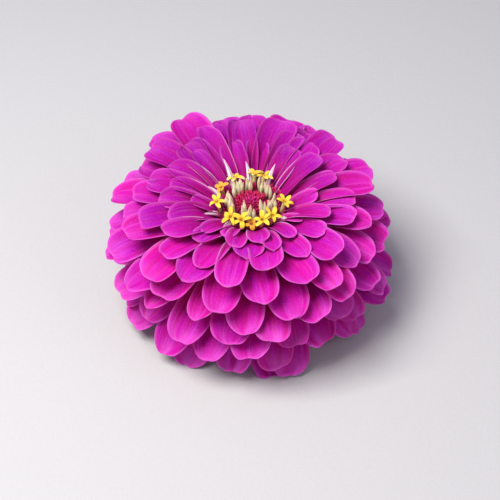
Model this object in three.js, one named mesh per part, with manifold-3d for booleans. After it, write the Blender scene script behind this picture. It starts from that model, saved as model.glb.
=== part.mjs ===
// A double zinnia flower head, picked with its stem nipped off just below the head and set face up.
// Millimetres and degrees, +Z up. The lowest petals lie on z = 0, and the head's box is centred on X and Y.
// Everything that grows together in one colour is one closed solid: the petals with the receptacle that
// carries them, the ring of open disc florets, the ring of closed ones, the chaff of the centre, and the
// green stem with its bracts.
import * as THREE from "three";
import { mergeVertices } from "three/addons/utils/BufferGeometryUtils.js";
import Module from "manifold-3d";

const wasm = await Module();
wasm.setup();

// Driving dimensions.
const GOLDEN_ANGLE = 137.50776; // degrees from each petal or chaff spike to the next
const ROUND_SIDES = 24; // sides of the turned solids

const PETAL_COUNT = 152;
const PETAL_THICKNESS = 1.1; // along the midrib, thinning to the margins
const PETAL_ROOT_RADIUS = 11.5;
const PETAL_ROOT_SUNK = 2.5; // how far a root reaches into the receptacle
const CLAW_SHARE = 0.24; // width at the root, as a share of the full width
const WIDEST_AT = 0.7; // share of the length where a petal is widest
const TIP_BLUNTNESS = 2.7; // 2 rounds the tip as an ellipse, and more makes it squarer
const PETAL_STATIONS = [0, 0.36, 0.66, 0.88, 0.995];

// How petals change with age, from the outermost (0) to the innermost (1). A pitch is above the horizontal,
// and a cup above 0 lifts the petal's edges.
const WHORLS = [
  { age: 0.0, rootZ: 18.8, rootPitch: -8, tipPitch: -62, length: 40.0, width: 12.9, rootCup: 0.25, tipCup: -0.05 },
  { age: 0.12, rootZ: 20.5, rootPitch: 2, tipPitch: -48, length: 39.5, width: 12.9, rootCup: 0.28, tipCup: 0.0 },
  { age: 0.36, rootZ: 26.0, rootPitch: 20, tipPitch: -30, length: 40.0, width: 12.7, rootCup: 0.33, tipCup: 0.05 },
  { age: 0.53, rootZ: 30.0, rootPitch: 32, tipPitch: -17, length: 39.5, width: 12.5, rootCup: 0.38, tipCup: 0.1 },
  { age: 0.68, rootZ: 33.5, rootPitch: 43, tipPitch: -4, length: 36.5, width: 12.0, rootCup: 0.42, tipCup: 0.12 },
  { age: 0.81, rootZ: 36.0, rootPitch: 47, tipPitch: 5, length: 28.0, width: 10.3, rootCup: 0.46, tipCup: 0.15 },
  { age: 0.93, rootZ: 37.6, rootPitch: 48, tipPitch: 12, length: 17.0, width: 7.4, rootCup: 0.5, tipCup: 0.18 },
  { age: 1.0, rootZ: 38.2, rootPitch: 47, tipPitch: 20, length: 11.0, width: 5.4, rootCup: 0.5, tipCup: 0.2 },
];
// Seeded spread of each petal round the values of its age.
const SPREAD = { azimuth: 4, rootPitch: 2.5, tipPitch: 9, length: 0.07, width: 0.13, twist: 14, veer: 5, cup: 0.12 };
// The upper petals on the +Y side are longer and more deeply cupped by these amounts, and those on -Y less so.
const LEEWARD = { length: 0.03, rootCup: 0.15, tipCup: 0.25 };
const UPPER_FROM = 0.4; // age where that difference starts
const UPPER_OVER = 0.25; // share of the ages over which it comes in

const CORE_BOTTOM = 17;
const CORE_TOP = 39.4;
const CORE_RADIUS = 12.2;
const CORE_SHOULDER_RADIUS = 11.9;

// Each ring of the disc grows from its own low step of the receptacle.
const STEP_HEIGHT = 0.8;
const ROOT_IN_STEP = 0.45; // height within a step at which its florets are rooted
const OPEN_STEP_RADIUS = 11.3;
const CLOSED_STEP_RADIUS = 8.9;

// Each open floret's place round the disc, its lean outwards, and its height as a share of the usual one. They
// stand in groups, and the one at the front is faded and droops.
const OPEN_FLORETS = [
  { azimuth: 68, lean: 15, height: 0.97 },
  { azimuth: 84, lean: 14, height: 1.03 },
  { azimuth: 120, lean: 14, height: 1.0 },
  { azimuth: 151, lean: 17, height: 0.86 },
  { azimuth: 191, lean: 15, height: 1.0 },
  { azimuth: 234, lean: 15, height: 0.96 },
  { azimuth: 254, lean: 14, height: 1.0 },
  { azimuth: 271, lean: 20, height: 0.76 },
  { azimuth: 289, lean: 14, height: 0.97 },
  { azimuth: 308, lean: 14, height: 1.03 },
  { azimuth: 347, lean: 14, height: 1.04 },
];
const OPEN_ROOT_RADIUS = 10.5;
const OPEN_TUBE = { radius: 0.75, height: 4.9, sides: 6 };
const LOBE_COUNT = 5;
const LOBE_REACH = 3.2;
const LOBE_THROAT = 1.0;
const LOBE_THICKNESS = 0.7;
const LOBE_DROOP = 0.07; // fall in millimetres per square millimetre of reach

const CLOSED_COUNT = 24;
const CLOSED_ROOT_RADIUS = 7.4;
const CLOSED_STAGGER = 0.5; // every other one stands this much nearer the centre, and the rest farther out
const CLOSED_BUD = { radius: 0.78, height: 4.4, sides: 6 };
const CLOSED_LEAN = 6;

const CHAFF_RADIUS = 5.7;
const CHAFF_RISE = 2.4;
const SPIKE_COUNT = 44;
const SPIKE = { radius: 0.6, height: 1.5, sides: 4 };

// The involucre is a bowl, half an ellipse in section, with overlapping rows of bracts.
const BOWL_RADIUS = 12.4;
const BOWL_DEPTH = 10.6;
const BOWL_FOOT_RADIUS = 3.4;
const BRACT_THICKNESS = 0.9;
const BRACT_TIP_LIFT = 0.7;
const BRACT_STATIONS = [0, 0.55, 1];
// A row's count, and the angles up the bowl, from its foot to its rim, between which its bracts run.
const BRACT_ROWS = [
  { count: 7, from: 24, to: 56, width: 6.6 },
  { count: 8, from: 43, to: 71, width: 7.2 },
  { count: 9, from: 60, to: 85, width: 7.4 },
];

const STEM_RADIUS = 2.3;
const STEM_CUT_Z = 0.8;
const STEM_SIDES = 16;

const radians = THREE.MathUtils.degToRad;
const lerp = THREE.MathUtils.lerp;
const clamp = THREE.MathUtils.clamp;

// A repeatable draw between -1 and 1 for one floret. Its lane keeps a floret's draws apart.
function draw(index, lane) {
  const x = Math.sin(index * 12.9898 + lane * 78.233) * 43758.5453;
  return 2 * (x - Math.floor(x)) - 1;
}

// The value of one of the whorls' columns at an age between 0 and 1.
function atAge(age, column) {
  const upper = Math.max(1, WHORLS.findIndex((whorl) => whorl.age >= age));
  const [a, b] = [WHORLS[upper - 1], WHORLS[upper]];
  return lerp(a[column], b[column], (age - a.age) / (b.age - a.age));
}

// The shape and place of one petal.
function petalOf(index) {
  const age = index / (PETAL_COUNT - 1);
  const azimuth = radians(index * GOLDEN_ANGLE + SPREAD.azimuth * draw(index, 1));
  const leeward = Math.sin(azimuth) * clamp((age - UPPER_FROM) / UPPER_OVER, 0, 1);
  return {
    azimuth,
    rootZ: atAge(age, "rootZ"),
    rootPitch: radians(atAge(age, "rootPitch") + SPREAD.rootPitch * draw(index, 2)),
    tipPitch: radians(atAge(age, "tipPitch") + SPREAD.tipPitch * draw(index, 3)),
    length: atAge(age, "length") * (1 + SPREAD.length * draw(index, 4)) * (1 + LEEWARD.length * leeward),
    width: atAge(age, "width") * (1 + SPREAD.width * draw(index, 5)),
    twist: radians(SPREAD.twist) * draw(index, 6),
    veer: radians(SPREAD.veer) * draw(index, 7),
    rootCup: atAge(age, "rootCup") + LEEWARD.rootCup * leeward,
    tipCup: atAge(age, "tipCup") + LEEWARD.tipCup * leeward + SPREAD.cup * draw(index, 8),
  };
}

// Half a petal's width at u, from 0 at its root to 1 at its tip, as a share of half its full width.
function outline(u) {
  const rise = Math.sin((clamp(u / WIDEST_AT, 0, 1) * Math.PI) / 2) ** 1.15;
  const fall = clamp((u - WIDEST_AT) / (1 - WIDEST_AT), 0, 1);
  return (CLAW_SHARE + (1 - CLAW_SHARE) * rise) * (1 - fall ** TIP_BLUNTNESS) ** (1 / TIP_BLUNTNESS);
}

// The point at a radius along an azimuth, moved sideways from it.
function onAzimuth(azimuth, radius, side, z) {
  const [cos, sin] = [Math.cos(azimuth), Math.sin(azimuth)];
  return new THREE.Vector3(radius * cos - side * sin, radius * sin + side * cos, z);
}

// A point of a petal: u along it, v across it from -1 to 1, and face 1 on its upper side or -1 on its lower.
// The midrib is an arc from the root's pitch to the tip's, and a petal that reaches z = 0 lies flat on it.
function petalPoint(petal, u, v, face) {
  const turn = petal.tipPitch - petal.rootPitch;
  const pitch = petal.rootPitch + turn * u;
  const half = (petal.width / 2) * outline(u);
  const raised = lerp(petal.rootCup, petal.tipCup, u) * half * v * v + (face * PETAL_THICKNESS) / 2;
  const twist = petal.twist * u;
  const side = v * half * Math.cos(twist) - raised * Math.sin(twist) + petal.length * petal.veer * u * u;
  const lift = v * half * Math.sin(twist) + raised * Math.cos(twist);
  const sunk = u === 0 ? PETAL_ROOT_SUNK : 0;
  const out = (petal.length * (Math.sin(pitch) - Math.sin(petal.rootPitch))) / turn - sunk * Math.cos(pitch);
  const up = (petal.length * (Math.cos(petal.rootPitch) - Math.cos(pitch))) / turn - sunk * Math.sin(pitch);
  const radius = PETAL_ROOT_RADIUS + out - Math.sin(pitch) * lift;
  const z = petal.rootZ + up + Math.cos(pitch) * lift;
  return onAzimuth(petal.azimuth, radius, side, Math.max(z, face > 0 ? PETAL_THICKNESS : 0));
}

// A closed blade through the given stations. Its section has four corners: a margin, the top of the midrib,
// the other margin and the underside of the midrib. Both faces are split along the same diagonals.
function bladeGeometry(stations, pointAt) {
  const corners = [
    [-1, 0],
    [0, 1],
    [1, 0],
    [0, -1],
  ];
  const positions = stations.flatMap((u) => corners.flatMap(([v, face]) => pointAt(u, v, face).toArray()));
  const at = (i, j) => i * 4 + (j % 4);
  const last = stations.length - 1;
  const faces = [at(0, 0), at(0, 1), at(0, 2), at(0, 0), at(0, 2), at(0, 3)];
  for (let i = 0; i < last; i++) {
    for (let j = 0; j < 4; j++) {
      const [a, b, c, d] = [at(i, j), at(i + 1, j), at(i + 1, j + 1), at(i, j + 1)];
      faces.push(...(j < 2 ? [a, b, c, a, c, d] : [a, b, d, b, c, d]));
    }
  }
  faces.push(at(last, 0), at(last, 3), at(last, 2), at(last, 0), at(last, 2), at(last, 1));
  return new THREE.BufferGeometry()
    .setAttribute("position", new THREE.Float32BufferAttribute(positions, 3))
    .setIndex(faces);
}

// A geometry as a solid that can be joined.
function solidOf(geometry) {
  const bare = geometry.clone();
  bare.deleteAttribute("normal");
  bare.deleteAttribute("uv");
  const merged = mergeVertices(bare, 1e-5);
  const mesh = new wasm.Mesh({
    numProp: 3,
    vertProperties: merged.attributes.position.array,
    triVerts: new Uint32Array(merged.index.array),
  });
  return new wasm.Manifold(mesh);
}

// Geometries joined into one closed body, with the hollows sealed among them filled.
function joined(geometries) {
  const whole = geometries.map(solidOf).reduce((sum, solid) => sum.add(solid));
  const body = whole.decompose().reduce((a, b) => (b.volume() > a.volume() ? b : a));
  const { vertProperties, triVerts } = body.getMesh();
  return new THREE.BufferGeometry()
    .setAttribute("position", new THREE.BufferAttribute(vertProperties, 3))
    .setIndex(new THREE.BufferAttribute(triVerts, 1));
}

// A solid turned about Z from [radius, z] pairs that start and end on the axis, from the bottom up.
function turned(profile, sides = ROUND_SIDES) {
  const points = profile.map(([radius, z]) => new THREE.Vector2(radius, z));
  return new THREE.LatheGeometry(points, sides).rotateX(Math.PI / 2);
}

// A straight-sided disc from one height to another.
function disc(radius, bottom, top, sides) {
  const profile = [
    [0, bottom],
    [radius, bottom],
    [radius, top],
    [0, top],
  ];
  return turned(profile, sides);
}

// A copy of a geometry that stands on the origin, moved to a place on the head and leaning outwards.
function planted(geometry, azimuth, radius, z, lean) {
  return geometry.clone().rotateY(radians(lean)).translate(radius, 0, z).rotateZ(azimuth);
}

function petals() {
  const core = turned([
    [0, CORE_BOTTOM],
    [CORE_RADIUS, CORE_BOTTOM],
    [CORE_RADIUS, (CORE_BOTTOM + CORE_TOP) / 2],
    [CORE_SHOULDER_RADIUS, CORE_TOP],
    [0, CORE_TOP],
  ]);
  const blades = Array.from({ length: PETAL_COUNT }, (_, index) => {
    const petal = petalOf(index);
    return bladeGeometry(PETAL_STATIONS, (u, v, face) => petalPoint(petal, u, v, face));
  });
  return joined([core, ...blades]);
}

// The five lobes of an open floret's mouth, spread as a star whose ends curl down.
function starLimb() {
  const star = new THREE.Shape();
  const step = (2 * Math.PI) / LOBE_COUNT;
  const shoulder = { reach: LOBE_REACH * 0.72, half: step * 0.22 };
  for (let lobe = 0; lobe < LOBE_COUNT; lobe++) {
    const corners = [
      [LOBE_THROAT, -step / 2],
      [shoulder.reach, -shoulder.half],
      [LOBE_REACH, 0],
      [shoulder.reach, shoulder.half],
    ];
    corners.forEach(([reach, turn], corner) => {
      const angle = lobe * step + turn;
      const point = [reach * Math.cos(angle), reach * Math.sin(angle)];
      if (lobe === 0 && corner === 0) star.moveTo(...point);
      else star.lineTo(...point);
    });
  }
  const limb = new THREE.ExtrudeGeometry(star, { depth: LOBE_THICKNESS, bevelEnabled: false, steps: 1 });
  const place = limb.attributes.position;
  for (let i = 0; i < place.count; i++) {
    const reach = Math.hypot(place.getX(i), place.getY(i));
    place.setZ(i, place.getZ(i) - LOBE_THICKNESS / 2 - LOBE_DROOP * reach * reach);
  }
  return limb.translate(0, 0, OPEN_TUBE.height);
}

function openFlorets() {
  const pieces = [disc(OPEN_STEP_RADIUS, CORE_TOP, CORE_TOP + STEP_HEIGHT)];
  const tube = disc(OPEN_TUBE.radius, 0, OPEN_TUBE.height, OPEN_TUBE.sides);
  const limb = starLimb();
  for (const { azimuth, lean, height } of OPEN_FLORETS) {
    for (const piece of [tube, limb]) {
      const grown = piece.clone().scale(1, 1, height);
      pieces.push(planted(grown, radians(azimuth), OPEN_ROOT_RADIUS, CORE_TOP + ROOT_IN_STEP, lean));
    }
  }
  return joined(pieces);
}

function closedFlorets() {
  const bottom = CORE_TOP + STEP_HEIGHT;
  const pieces = [disc(CLOSED_STEP_RADIUS, bottom, bottom + STEP_HEIGHT)];
  const { radius, height, sides } = CLOSED_BUD;
  const profile = [
    [0, 0],
    [radius * 0.8, 0],
    [radius, height * 0.6],
    [radius * 0.6, height * 0.92],
    [0, height],
  ];
  const bud = turned(profile, sides);
  for (let index = 0; index < CLOSED_COUNT; index++) {
    const azimuth = (2 * Math.PI * index) / CLOSED_COUNT;
    const rooted = CLOSED_ROOT_RADIUS + CLOSED_STAGGER * (index % 2 === 0 ? -1 : 1);
    pieces.push(planted(bud, azimuth, rooted, bottom + ROOT_IN_STEP, CLOSED_LEAN));
  }
  return joined(pieces);
}

function centreChaff() {
  const bottom = CORE_TOP + 2 * STEP_HEIGHT;
  const surface = (share) => bottom + CHAFF_RISE * (1 - 0.75 * share * share);
  const dome = turned([
    [0, bottom],
    [CHAFF_RADIUS, bottom],
    ...[1, 0.7, 0.35].map((share) => [CHAFF_RADIUS * share, surface(share)]),
    [0, surface(0)],
  ]);
  const spike = new THREE.ConeGeometry(SPIKE.radius, SPIKE.height, SPIKE.sides).rotateX(Math.PI / 2);
  const spikes = Array.from({ length: SPIKE_COUNT }, (_, index) => {
    const share = Math.sqrt((index + 0.5) / SPIKE_COUNT);
    const rooted = share * (CHAFF_RADIUS - SPIKE.radius);
    return planted(spike, radians(index * GOLDEN_ANGLE), rooted, surface(share) + SPIKE.height / 4, 20 * share);
  });
  return joined([dome, ...spikes]);
}

// The point at an angle up the involucre's bowl, from its foot at 0 to its rim at 90, moved outwards from it.
function bowlPoint(degrees, outwards) {
  const angle = radians(degrees);
  const [sin, cos] = [Math.sin(angle), Math.cos(angle)];
  const normal = new THREE.Vector2(BOWL_DEPTH * sin, -BOWL_RADIUS * cos).normalize();
  return new THREE.Vector2(BOWL_RADIUS * sin, CORE_BOTTOM - BOWL_DEPTH * cos).addScaledVector(normal, outwards);
}

// A point of a bract, which lies on the bowl with its root sunk in it and its tip standing a little off.
function bractPoint(row, azimuth, u, v, face) {
  const half = (row.width / 2) * lerp(0.8, 1, u) * Math.sqrt(1 - 0.97 * u ** 3);
  const off = BRACT_THICKNESS * (0.25 - 0.5 * face) + BRACT_TIP_LIFT * u * u;
  const point = bowlPoint(lerp(row.from, row.to, u), off);
  return onAzimuth(azimuth + (v * half) / point.x, point.x, 0, point.y);
}

function stemWithBracts() {
  const foot = THREE.MathUtils.radToDeg(Math.asin(BOWL_FOOT_RADIUS / BOWL_RADIUS));
  const bowl = [0, 1, 2, 3, 4, 5].map((step) => bowlPoint(lerp(foot, 90, step / 5), 0));
  const profile = [[0, bowl[0].y], ...bowl.map(({ x, y }) => [x, y]), [0, CORE_BOTTOM]];
  const stem = disc(STEM_RADIUS, STEM_CUT_Z, CORE_BOTTOM - BOWL_DEPTH / 2, STEM_SIDES);
  const bracts = BRACT_ROWS.flatMap((row, order) =>
    Array.from({ length: row.count }, (_, index) => {
      const azimuth = (2 * Math.PI * (index + order / 2)) / row.count;
      return bladeGeometry(BRACT_STATIONS, (u, v, face) => bractPoint(row, azimuth, u, v, face));
    }),
  );
  return joined([turned(profile, STEM_SIDES), stem, ...bracts]);
}

const PIECES = [
  ["petals", petals, { color: "#c41fae", roughness: 0.55 }],
  ["open_florets", openFlorets, { color: "#f5cf1e", roughness: 0.6 }],
  ["closed_florets", closedFlorets, { color: "#cfc58a", roughness: 0.55 }],
  ["centre_chaff", centreChaff, { color: "#a80a46", roughness: 0.6 }],
  ["stem_and_bracts", stemWithBracts, { color: "#5f7f35", roughness: 0.6 }],
];

const head = new THREE.Group();
for (const [name, make, finish] of PIECES) {
  const mesh = new THREE.Mesh(make(), new THREE.MeshStandardMaterial({ metalness: 0, ...finish }));
  mesh.name = name;
  head.add(mesh);
}

// The petals' uneven reach puts the middle of the head's box a little off the axis of the flower.
const middle = new THREE.Box3().setFromObject(head).getCenter(new THREE.Vector3());
head.position.set(-middle.x, -middle.y, 0);

export default head;
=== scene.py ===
"""A double zinnia head, as picked, set face up on its lowest petals.

Every petal, floret, scale, bract and hair is grown by a rule: a seed point carries the part's own sizes, and a
Geometry Nodes tree bends one round of stations into its shape. Lengths are in millimetres until a finished
place is stored, angles are in degrees until a seed carries them, and Z is up. The head's steps are read from
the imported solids.
"""

import logging
import math
from dataclasses import astuple, dataclass, fields
from enum import Enum
from typing import Annotated

import bpy
import numpy as np
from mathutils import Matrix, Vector


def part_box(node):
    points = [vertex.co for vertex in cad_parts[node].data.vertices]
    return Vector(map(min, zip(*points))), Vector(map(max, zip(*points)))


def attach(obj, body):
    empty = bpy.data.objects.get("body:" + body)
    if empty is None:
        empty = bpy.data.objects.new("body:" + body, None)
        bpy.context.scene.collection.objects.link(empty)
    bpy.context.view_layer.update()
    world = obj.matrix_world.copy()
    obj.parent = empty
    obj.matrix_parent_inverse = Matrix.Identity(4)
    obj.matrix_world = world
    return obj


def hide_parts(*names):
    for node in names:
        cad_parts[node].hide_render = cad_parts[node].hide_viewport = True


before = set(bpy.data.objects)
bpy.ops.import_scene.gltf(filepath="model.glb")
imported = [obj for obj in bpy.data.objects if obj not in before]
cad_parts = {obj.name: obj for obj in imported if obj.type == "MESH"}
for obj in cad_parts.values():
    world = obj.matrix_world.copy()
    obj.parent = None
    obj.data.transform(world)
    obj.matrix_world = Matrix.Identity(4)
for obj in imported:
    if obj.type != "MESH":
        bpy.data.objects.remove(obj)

MM = 0.001
GOLDEN_ANGLE = 137.50776
BODY = "root"

# The draws' own numbers: how far apart they set two parts and two lanes, and how widely they scatter them.
PART_STEP = 12.9898
LANE_STEP = 78.233
SCATTER = 43758.5453

Colour = tuple[float, float, float]
Seeds = dict[str, np.ndarray]
Stretch = tuple[float, float]
Profile = tuple[Stretch, ...]

# A number that only the seeds use, so the tree gets no input for it.
Seeded = Annotated[float, "seeds"]

log = logging.getLogger("zinnia")


class Store(Enum):
    """The numbers that a grown part carries for its finish."""

    ALONG = "along"
    ACROSS = "across"
    FACE = "face"
    RIM = "rim"
    TONE = "tone"
    AGE = "age"
    PHASE = "phase"
    FURROWED = "furrowed"
    # How deep a petal's violet is: its own colour, with painted shade on the petals behind the disc.
    DEPTH = "depth"


class Node(Enum):
    """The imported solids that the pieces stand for, and whose finishes they take."""

    PETALS = "petals"
    OPEN = "open_florets"
    CLOSED = "closed_florets"
    CHAFF = "centre_chaff"
    GREEN = "stem_and_bracts"


def draw(index: np.ndarray, lane: int) -> np.ndarray:
    """A repeatable number between -1 and 1 for each part, by its place in the order of growth and a draw's lane."""
    x = np.sin(index * PART_STEP + lane * LANE_STEP) * SCATTER
    return 2 * (x - np.floor(x)) - 1


def columns(rows: tuple) -> np.ndarray:
    """The fields of a list of dataclass rows, each as a row of numbers."""
    return np.array([astuple(row) for row in rows], dtype=float).T


def columns_of_parts(rows: tuple) -> tuple[np.ndarray, np.ndarray]:
    """The row that each part of counted rows stands in, and the rows' fields with one value for each part."""
    row = np.repeat(np.arange(len(rows)), [one.count for one in rows])
    return row, columns(rows)[:, row]


@dataclass(frozen=True)
class Varied:
    """A number that differs from part to part by a seeded draw.

    Attributes:
        usual: its usual value.
        stray: how far a part strays from it at most, in the same units.
        lane: which of a part's draws decides it.
    """

    usual: float
    stray: float
    lane: int

    def of(self, index: np.ndarray) -> np.ndarray:
        """The number of each part, by the parts' places in their order of growth."""
        return self.usual + self.stray * draw(index, self.lane)


@dataclass(frozen=True)
class Size(Varied):
    """A length whose stray is a share of its usual value."""

    def of(self, index: np.ndarray) -> np.ndarray:
        """The length of each part."""
        return self.usual * (1 + self.stray * draw(index, self.lane))


@dataclass(frozen=True)
class Angle(Varied):
    """An angle given in degrees, which the seeds carry in radians."""

    def of(self, index: np.ndarray) -> np.ndarray:
        """The angle of each part, in radians."""
        return np.radians(super().of(index))


@dataclass(frozen=True)
class Ramp:
    """A rise from 0 to 1 over a stretch of a number.

    Attributes:
        start: where it starts.
        over: how long it takes.
    """

    start: float
    over: float

    def of(self, value: np.ndarray) -> np.ndarray:
        """How far each value is up the ramp."""
        return np.clip((value - self.start) / self.over, 0, 1)


@dataclass(frozen=True)
class Head:
    """Where the parts of the head meet, in millimetres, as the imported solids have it."""

    axis_x: float
    axis_y: float
    receptacle_bottom: float
    open_step: float
    closed_step: float
    chaff_step: float
    cut: float

    @classmethod
    def read(cls) -> "Head":
        """Reads the head's places from the solids' boxes.

        Returns:
            The places.
        """
        low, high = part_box(Node.CHAFF.value)
        green_low, green_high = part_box(Node.GREEN.value)
        return cls(
            axis_x=(low.x + high.x) / 2 / MM,
            axis_y=(low.y + high.y) / 2 / MM,
            receptacle_bottom=green_high.z / MM,
            open_step=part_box(Node.OPEN.value)[0].z / MM,
            closed_step=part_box(Node.CLOSED.value)[0].z / MM,
            chaff_step=low.z / MM,
            cut=green_low.z / MM,
        )


HEAD = Head.read()


class Field:
    """A number that varies over a tree's geometry or surface, with the arithmetic that the rules use."""

    def __init__(self, tree: bpy.types.NodeTree, socket: bpy.types.NodeSocket) -> None:
        """Wraps one output socket of a tree."""
        self.tree = tree
        self.socket = socket

    def apply(self, operation: str, *others: "Field | float") -> "Field":
        """Applies one of the Math node's operations, given its name and its further operands."""
        return math_node(self.tree, operation, self, *others)

    def __add__(self, other: "Field | float") -> "Field":
        """Adds."""
        return self.apply("ADD", other)

    __radd__ = __add__

    def __sub__(self, other: "Field | float") -> "Field":
        """Subtracts."""
        return self.apply("SUBTRACT", other)

    def __rsub__(self, other: float) -> "Field":
        """Subtracts this from a number."""
        return math_node(self.tree, "SUBTRACT", other, self)

    def __neg__(self) -> "Field":
        """The number with its sign changed."""
        return self * -1.0

    def __mul__(self, other: "Field | float") -> "Field":
        """Multiplies."""
        return self.apply("MULTIPLY", other)

    __rmul__ = __mul__

    def __truediv__(self, other: "Field | float") -> "Field":
        """Divides."""
        return self.apply("DIVIDE", other)

    def __rtruediv__(self, other: float) -> "Field":
        """Divides a number by this."""
        return math_node(self.tree, "DIVIDE", other, self)

    def __pow__(self, other: "Field | float") -> "Field":
        """Raises to a power."""
        return self.apply("POWER", other)

    def sin(self) -> "Field":
        """The sine of an angle in radians."""
        return self.apply("SINE")

    def cos(self) -> "Field":
        """The cosine of an angle in radians."""
        return self.apply("COSINE")

    def size(self) -> "Field":
        """The number without its sign."""
        return self.apply("ABSOLUTE")

    def at_least(self, other: "Field | float") -> "Field":
        """The larger of the two."""
        return self.apply("MAXIMUM", other)

    def at_most(self, other: "Field | float") -> "Field":
        """The smaller of the two."""
        return self.apply("MINIMUM", other)

    def share(self, start: "Field | float", end: "Field | float") -> "Field":
        """How far the number is on its way from start to end, between 0 and 1."""
        return ((self - start) / (end - start)).at_least(0.0).at_most(1.0)

    def eased(self, start: float, end: float) -> "Field":
        """The share, with a soft start and end."""
        share = self.share(start, end)
        return share * share * (3.0 - 2.0 * share)

    def towards(self, other: "Field | float", share: "Field | float") -> "Field":
        """The number a share of the way from this to another."""
        return self + (other - self) * share


def feed(tree: bpy.types.NodeTree, node: bpy.types.Node, *values: "Field | float") -> None:
    """Connects a node's first inputs to fields, or sets them to numbers.

    Args:
        tree: the node's tree.
        node: the node.
        values: what each input gets, in order.
    """
    for socket, value in zip(node.inputs, values):
        if isinstance(value, Field):
            tree.links.new(value.socket, socket)
        else:
            socket.default_value = value


def math_node(tree: bpy.types.NodeTree, operation: str, *operands: "Field | float") -> Field:
    """Adds a Math node.

    Args:
        tree: the tree that gets it.
        operation: the operation's name.
        operands: fields or numbers, in order.

    Returns:
        The node's result.
    """
    node = tree.nodes.new("ShaderNodeMath")
    node.operation = operation
    feed(tree, node, *operands)
    return Field(tree, node.outputs[0])


def vector_node(tree: bpy.types.NodeTree, *parts: "Field | float") -> bpy.types.NodeSocket:
    """Adds a Combine XYZ node.

    Args:
        tree: the tree that gets it.
        parts: the vector's X, Y and Z.

    Returns:
        The socket of the vector.
    """
    node = tree.nodes.new("ShaderNodeCombineXYZ")
    feed(tree, node, *parts)
    return node.outputs[0]


# ---------------------------------------------------------------- finishes


def srgb(code: str) -> Colour:
    """A colour in linear light from its six-digit code."""
    values = (int(code[i : i + 2], 16) / 255 for i in (0, 2, 4))
    return tuple(value / 12.92 if value <= 0.04045 else ((value + 0.055) / 1.055) ** 2.4 for value in values)


class Palette:
    """A material under construction, with the few nodes that the finishes share."""

    def __init__(self, name: str) -> None:
        """Starts a material with one Principled shader.

        Args:
            name: the material's name.
        """
        self.material = bpy.data.materials.new(name)
        self.material.use_nodes = True
        self.tree = self.material.node_tree
        self.shader = self.tree.nodes["Principled BSDF"]

    def stored(self, store: Store) -> Field:
        """Reads a number that the piece's points carry.

        Args:
            store: which number.

        Returns:
            The number.
        """
        node = self.tree.nodes.new("ShaderNodeAttribute")
        node.attribute_name = store.value
        return Field(self.tree, node.outputs["Fac"])

    def vector(self, x: "Field | float", y: "Field | float", z: "Field | float") -> bpy.types.NodeSocket:
        """A vector of three numbers."""
        return vector_node(self.tree, x, y, z)

    def place(self) -> bpy.types.NodeSocket:
        """The point's place on the object, in metres."""
        return self.tree.nodes.new("ShaderNodeTexCoord").outputs["Object"]

    def noise(self, vector: bpy.types.NodeSocket, scale: float, detail: float = 2.0) -> Field:
        """Smooth noise between 0 and 1.

        Args:
            vector: where it is read.
            scale: how many features a unit of the vector holds.
            detail: how many finer layers it has.

        Returns:
            The noise.
        """
        node = self.tree.nodes.new("ShaderNodeTexNoise")
        node.inputs["Scale"].default_value = scale
        node.inputs["Detail"].default_value = detail
        self.tree.links.new(vector, node.inputs["Vector"])
        return Field(self.tree, node.outputs["Fac"])

    def blend(
        self, share: Field, start: "Colour | bpy.types.NodeSocket", end: "Colour | bpy.types.NodeSocket"
    ) -> bpy.types.NodeSocket:
        """Blends two colours.

        Args:
            share: how much of the second shows, from 0 to 1.
            start: the first colour.
            end: the second colour.

        Returns:
            The blend.
        """
        node = self.tree.nodes.new("ShaderNodeMix")
        node.data_type = "RGBA"
        self.tree.links.new(share.socket, node.inputs[0])
        for socket, colour in ((node.inputs[6], start), (node.inputs[7], end)):
            if isinstance(colour, tuple):
                socket.default_value = (*colour, 1.0)
            else:
                self.tree.links.new(colour, socket)
        return node.outputs[2]

    def relief(self, height: Field, distance: float) -> None:
        """Gives the surface fine relief.

        Args:
            height: the relief, between 0 and 1.
            distance: what 1 stands for, in millimetres.
        """
        node = self.tree.nodes.new("ShaderNodeBump")
        node.inputs["Distance"].default_value = distance * MM
        self.tree.links.new(height.socket, node.inputs["Height"])
        self.tree.links.new(node.outputs[0], self.shader.inputs["Normal"])

    def finished(self, colour: bpy.types.NodeSocket, **sockets: "float | Colour") -> bpy.types.Material:
        """Connects the colour and sets the shader's own constants.

        Args:
            colour: the surface colour.
            sockets: constants by socket name, with underscores for spaces.

        Returns:
            The material.
        """
        self.tree.links.new(colour, self.shader.inputs["Base Color"])
        for name, value in sockets.items():
            socket = self.shader.inputs[name.replace("_", " ")]
            socket.default_value = (*value, 1.0) if socket.type == "RGBA" else value
        return self.material


class Finish:
    """The finish of a kind of piece."""

    def material(self) -> bpy.types.Material:
        """Builds the material."""
        raise NotImplementedError


def furrow_wave(across: Field, phase: Field) -> Field:
    """The rise and fall of a petal's lengthwise furrows, between -1 and 1."""
    return (across * (3.3 * math.pi) + phase).cos()


@dataclass(frozen=True)
class PetalShares:
    """How strongly each tint of a petal shows where it shows most, from 0 to 1.

    Attributes:
        blotched: how much of the mix of rose and violet is in blotches, not even over the petal.
        deep: the deeper violet, the young petals' own colour and painted shade on the petals behind the disc.
        foot: the crimson of the claw, which reaches far up the petal as painted shade under the petals that overlap
            it.
        groove: the painted shade on the floor of the furrows.
        dark_streak: the dark veins.
        pale_streak: the pale lines between them.
        pale_tip: the pale end of an older petal.
        margin: the pale line along the margin.
        turned_up: the pale edge where a young petal's margin turns up.
        edge: the same edge on the other petals.
        painted_sparkle: the bright grain, a painted glint of the velvet.
        under: the pale underside.
        kept_plain: how much the deepest petals, partly in painted shade, lose of their pale lines.
    """

    blotched: float = 0.55
    deep: float = 0.9
    foot: float = 0.8
    groove: float = 0.9
    dark_streak: float = 0.5
    pale_streak: float = 0.22
    pale_tip: float = 0.6
    margin: float = 0.8
    turned_up: float = 1.4
    edge: float = 0.2
    painted_sparkle: float = 0.4
    under: float = 0.85
    kept_plain: float = 0.7


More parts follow.
